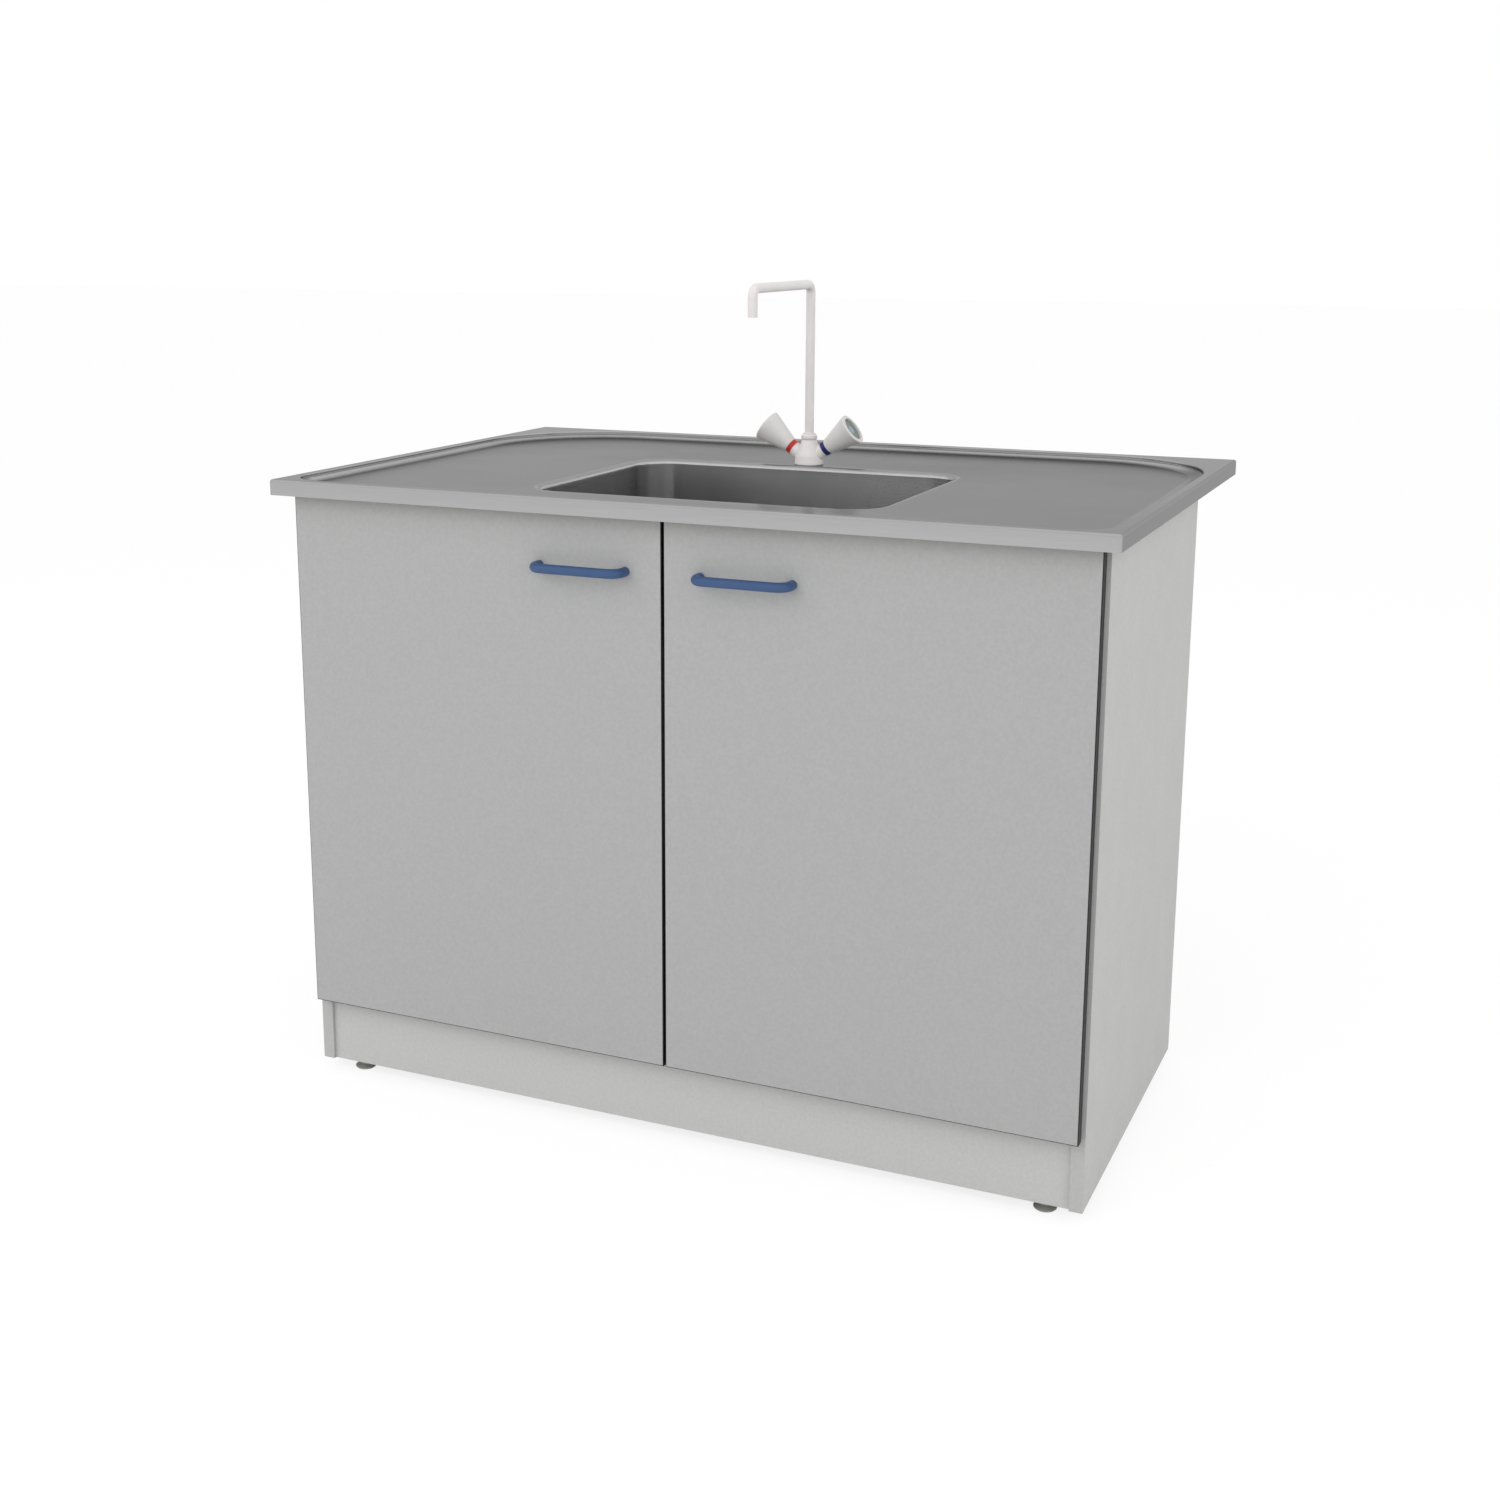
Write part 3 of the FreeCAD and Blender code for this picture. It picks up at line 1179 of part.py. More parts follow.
def make_strainer():
    """A flanged grid with a collar, two rings of holes and a hole for the clamping screw."""
    thick, collar = S.strainer_thickness, S.drain_hole_radius - S.strainer_collar_clearance
    wall = thick
    body = revolved("StrainerFlange", [
        (0, -thick), (collar - wall, -thick), (collar - wall, -thick - S.strainer_collar_height),
        (collar, -thick - S.strainer_collar_height), (collar, -thick), (S.strainer_radius, -thick),
        (S.strainer_radius, 0), (collar + wall, 0), (collar, -thick / 2), (0, -thick / 2)])
    holes = sketch_on(body, "XY_Plane")
    circle(holes, 0, 0, S.strainer_screw_radius + S.seat)
    pocket(body, holes, 2 * thick)
    for ring_radius, count in ((S.grid_inner_radius, 6), (S.grid_outer_radius, 12)):
        spot = sketch_on(body, "XY_Plane")
        circle(spot, ring_radius, 0, S.grid_hole_radius)
        hole = pocket(body, spot, 2 * thick)
        pattern = body.newObject("PartDesign::PolarPattern", "GridRing")
        pattern.Originals = [hole]
        pattern.Axis = (spot, ["N_Axis"])
        pattern.Angle = 360
        pattern.Occurrences = count
        body.Tip = pattern
        DOC.recompute()
    level = SEAT_LEVEL + S.seal_thickness + thick
    node(place(body, 0, BOWL_Y, level), "strainer_flange")
    return level


def make_waste(strainer_top):
    """Seals, screw and the waste body that hangs from the bowl floor; returns its lower end."""
    under_bowl = SEAT_LEVEL - S.sheet_thickness
    body_top = under_bowl - S.seal_thickness
    hole = S.drain_hole_radius
    node(group([ring(S.strainer_radius, hole, S.seal_thickness, 0, BOWL_Y, SEAT_LEVEL),
                ring(S.waste_flange_radius, hole, S.seal_thickness, 0, BOWL_Y, body_top)]),
         "waste_seals")

    wall, chamber, tail = S.waste_wall, S.waste_chamber_height, S.pipe_radius
    neck = hole + wall
    chamber_end = -chamber
    throat = tail - neck - chamber
    bottom = throat - S.waste_tail_length
    shell = revolved("WasteShell", [
        (hole, 0), (S.waste_flange_radius, 0), (S.waste_flange_radius, -wall), (neck, -wall),
        (neck, chamber_end), (tail, throat), (tail, bottom), (tail - wall, bottom),
        (tail - wall, throat), (hole, chamber_end)])
    shell = place(shell, 0, BOWL_Y, body_top)
    bar_top = body_top - chamber + wall
    half_bar = S.waste_bar_width / 2
    bar = block((-hole - wall / 2, hole + wall / 2), (BOWL_Y - half_bar, BOWL_Y + half_bar),
                (bar_top - wall, bar_top))
    boss = rod(2 * half_bar, chamber / 2, 0, BOWL_Y, bar_top - chamber / 2)
    tapped = rod(S.strainer_screw_radius + S.seat, chamber, 0, BOWL_Y, bar_top - chamber / 2)
    node(without(joined(shell, bar, boss), tapped), "waste_body")

    seat = strainer_top - S.strainer_thickness / 2
    length = seat - (bar_top - chamber / 4)
    node(screw(S.strainer_screw_radius, length, 0, BOWL_Y, seat, "-Z", "Z"), "strainer_screw")
    return body_top + bottom


def make_trap(inlet):
    """Dip tube, nuts, housing, cup and the pipe to the back; the inlet is at a height."""
    wall, outer = S.waste_wall, S.trap_radius
    flange = S.trap_flange_thickness
    collar_top = inlet - flange
    housing_top = collar_top - S.trap_collar_height
    housing_bottom = housing_top - S.trap_housing_height
    dip_bottom = housing_bottom - S.trap_cup_height / 2
    dip = revolved("DipTube", [
        (S.dip_radius - flange, 0), (S.pipe_radius, 0), (S.pipe_radius, -flange),
        (S.dip_radius, -flange), (S.dip_radius, dip_bottom - inlet),
        (S.dip_radius - flange, dip_bottom - inlet)])
    node(place(dip, 0, BOWL_Y, inlet), "trap_dip_tube")

    housing = revolved("TrapHousing", [
        (0, 0), (S.pipe_radius, 0), (S.pipe_radius, -S.trap_collar_height),
        (outer, -S.trap_collar_height, S.trap_shoulder_radius), (outer, housing_bottom - collar_top),
        (0, housing_bottom - collar_top)])
    housing = place(housing, 0, BOWL_Y, collar_top)
    spigot_bore = S.pipe_radius + S.seat
    spigot_radius = S.pipe_radius + wall
    outlet = housing_top - spigot_radius - flange
    socket_start = BOWL_Y + outer + wall
    spigot = rod(spigot_radius, S.spigot_length, 0, BOWL_Y, outlet, "Y")
    chamber = rod(outer - wall, S.trap_housing_height - wall, 0, BOWL_Y, housing_bottom)
    entry = rod(S.dip_radius + S.seat, S.trap_collar_height + 2 * wall, 0, BOWL_Y, housing_top - wall)
    throat = rod(S.pipe_radius - S.pipe_wall, S.spigot_length, 0, BOWL_Y, outlet, "Y")
    socket = rod(spigot_bore, S.spigot_length, 0, socket_start, outlet, "Y")
    node(without(joined(housing, spigot), chamber, entry, throat, socket), "trap_housing")

    cup_wall = outer - wall - S.seat
    cup_height = S.trap_cup_height
    cup = revolved("TrapCup", [
        (0, 0), (outer - wall, 0, S.trap_foot_radius), (outer, cup_height - 2 * S.trap_grip_height),
        (outer, cup_height), (cup_wall, cup_height), (cup_wall, cup_height + S.trap_thread_height),
        (cup_wall - wall, cup_height + S.trap_thread_height), (cup_wall - wall, wall, S.trap_floor_radius),
        (0, wall)])
    node(place(cup, 0, BOWL_Y, housing_bottom - cup_height), "trap_cup")

    nut_low = housing_top + flange
    inlet_nut = ring(S.pipe_radius + S.nut_wall, spigot_bore, S.trap_nut_height, 0, BOWL_Y, nut_low)
    pipe_start = socket_start + S.seat
    nut_start = BOWL_Y + S.spigot_length - S.trap_nut_height / 2
    overlap = S.trap_nut_height / 2 + S.seat
    outlet_nut = without(
        rod(spigot_radius + S.nut_wall, S.trap_nut_height, 0, nut_start, outlet, "Y"),
        rod(spigot_radius + S.seat, overlap, 0, nut_start, outlet, "Y"),
        rod(spigot_bore, S.trap_nut_height, 0, nut_start, outlet, "Y"))
    node(group([inlet_nut, outlet_nut]), "trap_nuts")
    make_waste_pipe(pipe_start, nut_start + S.trap_nut_height + S.seat, outlet)


def make_waste_pipe(start, stop_start, level):
    """A pipe out to the back, with a stop ring at the trap and a bevelled open end."""
    outside, bore = S.pipe_radius, S.pipe_radius - S.pipe_wall
    length = BOWL_Y + S.pipe_end - start
    stop, rise, bevel = stop_start - start, S.pipe_stop_height, S.pipe_bevel_width
    stop_end = stop + S.pipe_stop_width
    pipe = revolved("WastePipe", [
        (bore, 0), (outside, 0), (outside, stop), (outside + rise, stop + rise),
        (outside + rise, stop_end - rise), (outside, stop_end), (outside, length - 2 * bevel),
        (outside - bevel, length), (bore, length)])
    turn_axis, turn_angle = TURNS["Y"]
    node(place(pipe, 0, start, level, turn_axis, turn_angle), "waste_pipe")


# ---------------------------------------------------------------- the whole unit


def make_unit():
    make_cam_fittings()
    make_worktop_screws()
    screws = make_feet() + make_hinges()
    node(group(screws), "panel_screws")
    make_boards()
    make_worktop_sheet()
    make_worktop_core()
    make_sink_bowl()
    for side_name, side in SIDES:
        make_door(side_name, side)
        make_edging(side_name, side)
        make_bow_handle(side_name, side)
        make_bow_screws(side_name, side)
    make_bumpers()
    make_tap_body()
    make_spout()
    make_tap_fixing()
    bonnets = []
    for name, side in (("hot", -1), ("cold", 1)):
        bonnets.append(make_valve(name, side))
        make_supply_tail(name, side)
    node(group(bonnets), "valve_bonnets")
    make_trap(make_waste(make_strainer()))


def check_unit():
    """Stops the build if any object failed or any sub-part is not a valid solid."""
    DOC.recompute()
    for item in DOC.Objects:
        if "Invalid" in item.State or "Error" in item.State:
            raise RuntimeError("%s did not build: %s" % (item.Name, item.State))
    for item in NODES:
        if not item.Shape.isValid() or not item.Shape.Solids:
            raise RuntimeError("%s is not a valid solid" % item.Label)


def export_unit():
    os.makedirs("parts", exist_ok=True)
    for item in NODES:
        item.Shape.exportStep("parts/%s.step" % item.Label)


make_unit()
check_unit()
export_unit()
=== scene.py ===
"""Looks of the laboratory sink unit: materials, studio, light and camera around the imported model.

Lengths are in metres in the row frame: the floor is at height 0 and the doors face -Y.
"""

import math

import bmesh
import bpy
from mathutils import Matrix, Vector


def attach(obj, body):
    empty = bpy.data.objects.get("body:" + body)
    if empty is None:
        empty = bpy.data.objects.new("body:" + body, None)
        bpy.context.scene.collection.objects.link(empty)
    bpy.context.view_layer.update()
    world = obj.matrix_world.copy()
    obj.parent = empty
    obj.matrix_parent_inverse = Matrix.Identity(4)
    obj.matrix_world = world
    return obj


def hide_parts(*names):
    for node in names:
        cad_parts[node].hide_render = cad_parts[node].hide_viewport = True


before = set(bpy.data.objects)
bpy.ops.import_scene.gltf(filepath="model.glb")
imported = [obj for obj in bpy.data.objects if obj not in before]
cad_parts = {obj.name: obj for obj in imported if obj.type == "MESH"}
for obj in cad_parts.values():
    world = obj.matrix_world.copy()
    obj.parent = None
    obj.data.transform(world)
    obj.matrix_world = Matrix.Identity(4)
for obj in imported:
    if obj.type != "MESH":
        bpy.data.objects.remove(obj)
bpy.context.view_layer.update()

# ---------------------------------------------------------------- node helpers

NOISE_DARK, NOISE_LIGHT = 0.35, 0.65     # the span of a noise that colours are spread over
NOISE_LOW, NOISE_HIGH = 0.3, 0.7         # the span of a noise that roughness is spread over
SMOOTHEST = 0.02


def set_stops(ramp, stops):
    """Gives a colour ramp its stops; each is a position from 0 to 1 and a colour."""
    elements = ramp.color_ramp.elements
    while len(elements) < len(stops):
        elements.new(0.5)
    for element, (position, colour) in zip(elements, stops):
        element.position = position
        element.color = (*colour, 1.0)


def grey(stops):
    """Stops with a colour made of each tone."""
    return [(place, (tone, tone, tone)) for place, tone in stops]


class Recipe:
    """A material with one shader, and short ways to add textures that vary over the object."""

    def __init__(self, name, colour, roughness, metallic=0.0, specular=0.5):
        self.material = bpy.data.materials.new(name)
        self.material.use_nodes = True
        self.nodes = self.material.node_tree.nodes
        self.links = self.material.node_tree.links
        self.shader = self.nodes["Principled BSDF"]
        self.colour = colour
        self.roughness = roughness
        self.shader.inputs["Base Color"].default_value = (*colour, 1.0)
        self.shader.inputs["Roughness"].default_value = roughness
        self.shader.inputs["Metallic"].default_value = metallic
        self.shader.inputs["Specular IOR Level"].default_value = specular
        self.place = self.nodes.new("ShaderNodeTexCoord").outputs["Object"]

    def scaled(self, stretch):
        """The place on the object, drawn out along the axes where the stretch is small."""
        mapping = self.nodes.new("ShaderNodeMapping")
        mapping.inputs["Scale"].default_value = stretch
        self.links.new(self.place, mapping.inputs["Vector"])
        return mapping.outputs["Vector"]

    def textured(self, kind, scale, stretch):
        """A texture node over the object; without a stretch it is the same along every axis."""
        texture = self.nodes.new(kind)
        texture.inputs["Scale"].default_value = scale
        place = self.place if stretch is None else self.scaled(stretch)
        self.links.new(place, texture.inputs["Vector"])
        return texture

    def noise(self, scale, detail=4.0, stretch=None):
        texture = self.textured("ShaderNodeTexNoise", scale, stretch)
        texture.inputs["Detail"].default_value = detail
        return texture.outputs["Fac"]

    def cells(self, scale, stretch=None):
        return self.textured("ShaderNodeTexVoronoi", scale, stretch)

    def ramp(self, value, stops):
        """Colours by value; each stop is a position and a colour."""
        ramp = self.nodes.new("ShaderNodeValToRGB")
        set_stops(ramp, stops)
        self.links.new(value, ramp.inputs["Fac"])
        return ramp.outputs["Color"]

    def fade(self, axis, stops):
        """Tones along one axis of the frame; each stop is a place in metres and a tone."""
        split = self.nodes.new("ShaderNodeSeparateXYZ")
        self.links.new(self.place, split.inputs["Vector"])
        span = self.nodes.new("ShaderNodeMapRange")
        first, last = stops[0][0], stops[-1][0]
        span.inputs["From Min"].default_value = first
        span.inputs["From Max"].default_value = last
        self.links.new(split.outputs[axis], span.inputs["Value"])
        shares = [((place - first) / (last - first), tone) for place, tone in stops]
        return self.ramp(span.outputs["Result"], grey(shares))

    def blend(self, kind, share, first, second):
        """Mixes or multiplies two colours; the share is a number or the value of another node."""
        mix = self.nodes.new("ShaderNodeMix")
        mix.data_type = "RGBA"
        mix.blend_type = kind
        if isinstance(share, float):
            mix.inputs["Factor"].default_value = share
        else:
            self.links.new(share, mix.inputs["Factor"])
        self.links.new(first, mix.inputs["A"])
        self.links.new(second, mix.inputs["B"])
        return mix.outputs["Result"]

    def paint(self, colour):
        """Takes a colour made by other nodes as the base colour."""
        self.links.new(colour, self.shader.inputs["Base Color"])

    def worn(self, colour, value, spread):
        """Paints with a colour made by other nodes, varied a little."""
        wear = self.ramp(value, [(NOISE_DARK, (1 - spread,) * 3), (NOISE_LIGHT, (1 + spread,) * 3)])
        self.paint(self.blend("MULTIPLY", 1.0, colour, wear))

    def mottle(self, value, spread, low=NOISE_DARK, high=NOISE_LIGHT):
        """Varies the base colour around the written one."""
        dark = tuple(channel * (1 - spread) for channel in self.colour)
        light = tuple(min(1.0, channel * (1 + spread)) for channel in self.colour)
        self.paint(self.ramp(value, [(low, dark), (high, light)]))

    def vary_roughness(self, value, spread):
        """Varies the roughness around the written one."""
        span = self.nodes.new("ShaderNodeMapRange")
        span.inputs["From Min"].default_value = NOISE_LOW
        span.inputs["From Max"].default_value = NOISE_HIGH
        span.inputs["To Min"].default_value = max(SMOOTHEST, self.roughness - spread)
        span.inputs["To Max"].default_value = min(1.0, self.roughness + spread)
        self.links.new(value, span.inputs["Value"])
        self.links.new(span.outputs["Result"], self.shader.inputs["Roughness"])

    def bump(self, value, height, strength):
        """Adds relief of a height in metres."""
        bump = self.nodes.new("ShaderNodeBump")
        bump.inputs["Strength"].default_value = strength
        bump.inputs["Distance"].default_value = height
        self.links.new(value, bump.inputs["Height"])
        self.links.new(bump.outputs["Normal"], self.shader.inputs["Normal"])


# ---------------------------------------------------------------- kinds of material


def laminate(name, tone, relief):
    """Matt laminate with a fine pearl grain and faint larger clouds."""
    recipe = Recipe(name, tone, roughness=0.55, specular=0.35)
    recipe.mottle(recipe.noise(scale=230.0, detail=6.0), spread=0.035)
    recipe.vary_roughness(recipe.noise(scale=14.0), spread=0.05)
    recipe.bump(recipe.noise(scale=850.0, detail=3.0), relief, strength=0.6)
    return recipe.material


def steel(name, roughness, stretch, tone, edge_tone):
    """Satin steel, ground in one direction, with faint cloudy wear; its colour is painted light and
    shade made by tone.
    """
    recipe = Recipe(name, (0.5, 0.5, 0.5), roughness, metallic=1.0)
    recipe.shader.inputs["Specular Tint"].default_value = (edge_tone, edge_tone, edge_tone, 1.0)
    lines = recipe.noise(scale=1.0, detail=3.0, stretch=stretch)
    recipe.worn(tone(recipe), lines, spread=0.03)
    recipe.vary_roughness(recipe.noise(scale=9.0, detail=5.0), spread=0.015)
    recipe.bump(lines, height=0.000002, strength=0.2)
    return recipe.material


def zinc(name, colour):
    """Bright zinc with its patchy spangle."""
    recipe = Recipe(name, colour, roughness=0.34, metallic=1.0)
    recipe.mottle(recipe.cells(scale=260.0).outputs["Distance"], spread=0.12, low=0.1, high=0.7)
    recipe.vary_roughness(recipe.noise(scale=90.0), spread=0.09)
    recipe.bump(recipe.noise(scale=700.0), height=0.00003, strength=0.4)
    return recipe.material


def coating(name, colour, roughness):
    """Sprayed or powder coat with a slight orange peel."""
    recipe = Recipe(name, colour, roughness)
    recipe.mottle(recipe.noise(scale=28.0), spread=0.02)
    recipe.vary_roughness(recipe.noise(scale=60.0), spread=0.05)
    recipe.bump(recipe.noise(scale=520.0, detail=2.0), height=0.00005, strength=0.35)
    return recipe.material


def plastic(name, colour, roughness, grain=0.00003):
    """Moulded plastic with a fine spark-eroded skin."""
    recipe = Recipe(name, colour, roughness)
    recipe.mottle(recipe.noise(scale=45.0), spread=0.025)
    recipe.vary_roughness(recipe.noise(scale=30.0), spread=0.06)
    recipe.bump(recipe.noise(scale=1400.0, detail=2.0), grain, strength=0.4)
    return recipe.material


def copper_alloy(name, colour):
    """Drawn or turned copper alloy, lightly tarnished."""
    recipe = Recipe(name, colour, roughness=0.3, metallic=1.0)
    recipe.mottle(recipe.noise(scale=55.0, detail=6.0), spread=0.14)
    recipe.vary_roughness(recipe.noise(scale=120.0), spread=0.1)
    lines = recipe.noise(scale=1.0, detail=2.0, stretch=(150.0, 150.0, 2500.0))
    recipe.bump(lines, height=0.00003, strength=0.4)
    return recipe.material


def rubber(name, tone):
    """Dull moulded rubber, a little blotchy."""
    recipe = Recipe(name, (tone, tone, tone), roughness=0.75, specular=0.3)
    recipe.mottle(recipe.noise(scale=200.0), spread=0.25)
    recipe.bump(recipe.noise(scale=900.0), height=0.00008, strength=0.5)
    return recipe.material


def edging(name):
    """Black plastic edging, matt with fine lines along it."""
    recipe = Recipe(name, (0.013, 0.013, 0.014), roughness=0.6, specular=0.3)
    recipe.mottle(recipe.noise(scale=160.0), spread=0.3)
    lines = recipe.noise(scale=1.0, detail=2.0, stretch=(2200.0, 2200.0, 60.0))
    recipe.bump(lines, height=0.00003, strength=0.4)
    return recipe.material


def chipboard(name):
    """Raw moisture-proof board: pressed chips with a green tint."""
    recipe = Recipe(name, (0.24, 0.25, 0.14), roughness=0.85, specular=0.2)
    chips = recipe.cells(scale=190.0, stretch=(1.0, 1.6, 1.3))
    recipe.paint(recipe.ramp(chips.outputs["Color"], [
        (0.1, (0.13, 0.12, 0.06)), (0.45, (0.27, 0.24, 0.14)),
        (0.7, (0.19, 0.24, 0.13)), (0.95, (0.36, 0.31, 0.2))]))
    recipe.bump(chips.outputs["Distance"], height=0.0003, strength=0.5)
    return recipe.material


# The axes of the tap's two handles: their tilt, and the point where they cross.
BRANCH_TILT = math.radians(36.0)
BRANCH_CROSSING = (0.0, 0.15125, 0.8968)
# An index cap from its middle outwards: the radius that counts as 1, then shares of it.
CAP_REACH = 0.02
SPOT_EDGE, SPOT_END, CAP_FLAT_END = 0.3, 0.34, 0.88
CAP_EDGE_SHADE = 0.6
CAP_TONE = (0.19, 0.24, 0.20)


def index_cap(name, spot, side):
    """A moulded disc with a printed spot in its middle, around the handle's axis."""
    recipe = Recipe(name, CAP_TONE, roughness=0.38)
    nodes, links = recipe.nodes, recipe.links
    offset = nodes.new("ShaderNodeVectorMath")
    offset.operation = "SUBTRACT"
    offset.inputs[1].default_value = BRANCH_CROSSING
    links.new(recipe.place, offset.inputs[0])
    cross = nodes.new("ShaderNodeVectorMath")
    cross.operation = "CROSS_PRODUCT"
    cross.inputs[1].default_value = (side * math.cos(BRANCH_TILT), 0.0, math.sin(BRANCH_TILT))
    links.new(offset.outputs["Vector"], cross.inputs[0])
    distance = nodes.new("ShaderNodeVectorMath")
    distance.operation = "LENGTH"
    links.new(cross.outputs["Vector"], distance.inputs[0])
    across = nodes.new("ShaderNodeMapRange")
    across.inputs["From Max"].default_value = CAP_REACH
    links.new(distance.outputs["Value"], across.inputs["Value"])
    edge = tuple(CAP_EDGE_SHADE * channel for channel in CAP_TONE)
    recipe.paint(recipe.ramp(across.outputs["Result"], [
        (0.0, spot), (SPOT_EDGE, spot), (SPOT_END, CAP_TONE), (CAP_FLAT_END, CAP_TONE),
        (1.0, edge)]))
    recipe.vary_roughness(recipe.noise(scale=80.0), spread=0.06)
    recipe.bump(recipe.noise(scale=1300.0), height=0.00004, strength=0.4)
    return recipe.material


# ---------------------------------------------------------------- painted light and shade of the steel

# Fitted to the photo; each stop is a place along the axis and a tone.
# Painted shade: the deck is darker towards the back.
DECK_PAINTED_SHADE = ((-0.390, 0.42), (0.0, 0.37), (0.20, 0.29), (0.35, 0.27))
# Painted light: the rim is lighter than the lip under it.
LIP_PAINTED_LIGHT = ((-0.394, 0.43), (-0.390, 0.44), (0.0, 0.43), (0.40, 0.41))
RIM_PAINTED_LIGHT = ((-0.394, 0.43), (-0.390, 0.49), (0.0, 0.55), (0.40, 0.50))
LIP_TO_RIM = ((0.8955, 0.0), (0.8985, 1.0))
# Painted shade on the step's wall and a painted highlight on its slope, with painted shade at the
# right.
STEP_PAINTED_LIGHT_AND_SHADE = ((0.8910, 0.64), (0.8950, 0.64), (0.8962, 0.30), (0.8985, 0.30), (0.8997, 0.50))
STEP_PAINTED_SHADE_TO_RIGHT = ((-0.600, 1.0), (0.530, 1.0), (0.562, 0.5), (0.600, 0.5))
# Painted reflection on the bowl's wall, dull at the rim, and painted shade at its left end.
BOWL_PAINTED_REFLECTION = ((0.70, 0.50), (0.80, 0.68), (0.872, 0.80), (0.885, 0.68), (0.889, 0.33))
BOWL_PAINTED_SHADE_FROM_LEFT = ((-0.26, 0.60), (-0.225, 0.74), (-0.195, 1.0), (0.26, 1.0))
BELOW_BOWL_RIM = ((0.880, 1.0), (0.886, 0.0))
# Painted light: the strainer is a little lighter on top.
STRAINER_PAINTED_LIGHT = ((0.68, 0.5), (0.70, 0.58))


def paint_deck_shade(recipe):
    """Painted shade: a deck that is darker towards the back."""
    return recipe.fade("Y", DECK_PAINTED_SHADE)


def paint_rim_light(recipe):
    """Painted light: a lip under a rim that is painted lighter than it."""
    lip = recipe.fade("Y", LIP_PAINTED_LIGHT)
    rim = recipe.fade("Y", RIM_PAINTED_LIGHT)
    return recipe.blend("MIX", recipe.fade("Z", LIP_TO_RIM), lip, rim)


def paint_step_light_and_shade(recipe):
    """Painted shade on the wall over a painted highlight on the slope, with more painted shade at
    the right.
    """
    height = recipe.fade("Z", STEP_PAINTED_LIGHT_AND_SHADE)
    return recipe.blend("MULTIPLY", 1.0, height, recipe.fade("X", STEP_PAINTED_SHADE_TO_RIGHT))


def paint_bowl_reflection(recipe):
    """Painted reflection: lightest high on the wall and dull at the rim; below the rim, painted
    shade darkens the left end.
    """
    height = recipe.fade("Z", BOWL_PAINTED_REFLECTION)
    return recipe.blend("MULTIPLY", recipe.fade("Z", BELOW_BOWL_RIM), height,
                        recipe.fade("X", BOWL_PAINTED_SHADE_FROM_LEFT))


def paint_strainer_light(recipe):
    """Painted light: nearly even, a little lighter on top."""
    return recipe.fade("Z", STRAINER_PAINTED_LIGHT)


# ---------------------------------------------------------------- materials

# Grinding lines run along the axis with the small number.
SHEET_GRAIN = (14.0, 1500.0, 1500.0)
BOWL_GRAIN = (260.0, 260.0, 3.0)
STRAINER_GRAIN = (900.0, 900.0, 900.0)

CABINET = laminate("CabinetLaminate", (0.485, 0.485, 0.477), relief=0.00006)
PLINTH = laminate("PlinthLaminate", (0.545, 0.545, 0.535), relief=0.00006)
DOOR = laminate("DoorLaminate", (0.418, 0.418, 0.418), relief=0.0001)
# The rim, step, deck, bowl and strainer steels are copies of one steel with different painted light
# and shade.
RIM_STEEL = steel("RimSteel", 0.20, SHEET_GRAIN, paint_rim_light, edge_tone=0.46)
STEP_STEEL = steel("StepSteel", 0.20, SHEET_GRAIN, paint_step_light_and_shade, edge_tone=0.5)
DECK_STEEL = steel("DeckSteel", 0.20, SHEET_GRAIN, paint_deck_shade, edge_tone=0.46)
BOWL_STEEL = steel("BowlSteel", 0.25, BOWL_GRAIN, paint_bowl_reflection, edge_tone=0.7)
STRAINER_STEEL = steel("StrainerSteel", 0.26, STRAINER_GRAIN, paint_strainer_light, edge_tone=0.8)
ZINC = zinc("ZincPlate", (0.56, 0.56, 0.55))
FOOT = plastic("FootPlastic", (0.30, 0.30, 0.27), 0.5)
BLUE_COAT = coating("BlueCoat", (0.034, 0.082, 0.20), 0.45)
WHITE_COAT = coating("WhiteCoat", (0.82, 0.787, 0.775), 0.34)
HANDLE_WHITE = plastic("HandlePlastic", (0.74, 0.72, 0.705), 0.36)
WASTE_WHITE = plastic("WastePlastic", (0.78, 0.78, 0.77), 0.42, grain=0.00006)
RED = plastic("RedRing", (0.52, 0.018, 0.014), 0.32)
NAVY = plastic("BlueRing", (0.005, 0.018, 0.13), 0.32)
BRASS = copper_alloy("Brass", (0.62, 0.42, 0.16))
COPPER = copper_alloy("Copper", (0.66, 0.30, 0.17))
RUBBER = rubber("Rubber", 0.022)
PALE_RUBBER = rubber("PaleRubber", 0.4)
EDGING = edging("DoorEdging")
BOARD = chipboard("CoreBoard")
CAP_HOT = index_cap("HotCap", (0.55, 0.22, 0.20), side=-1)
CAP_COLD = index_cap("ColdCap", (0.30, 0.38, 0.52), side=1)

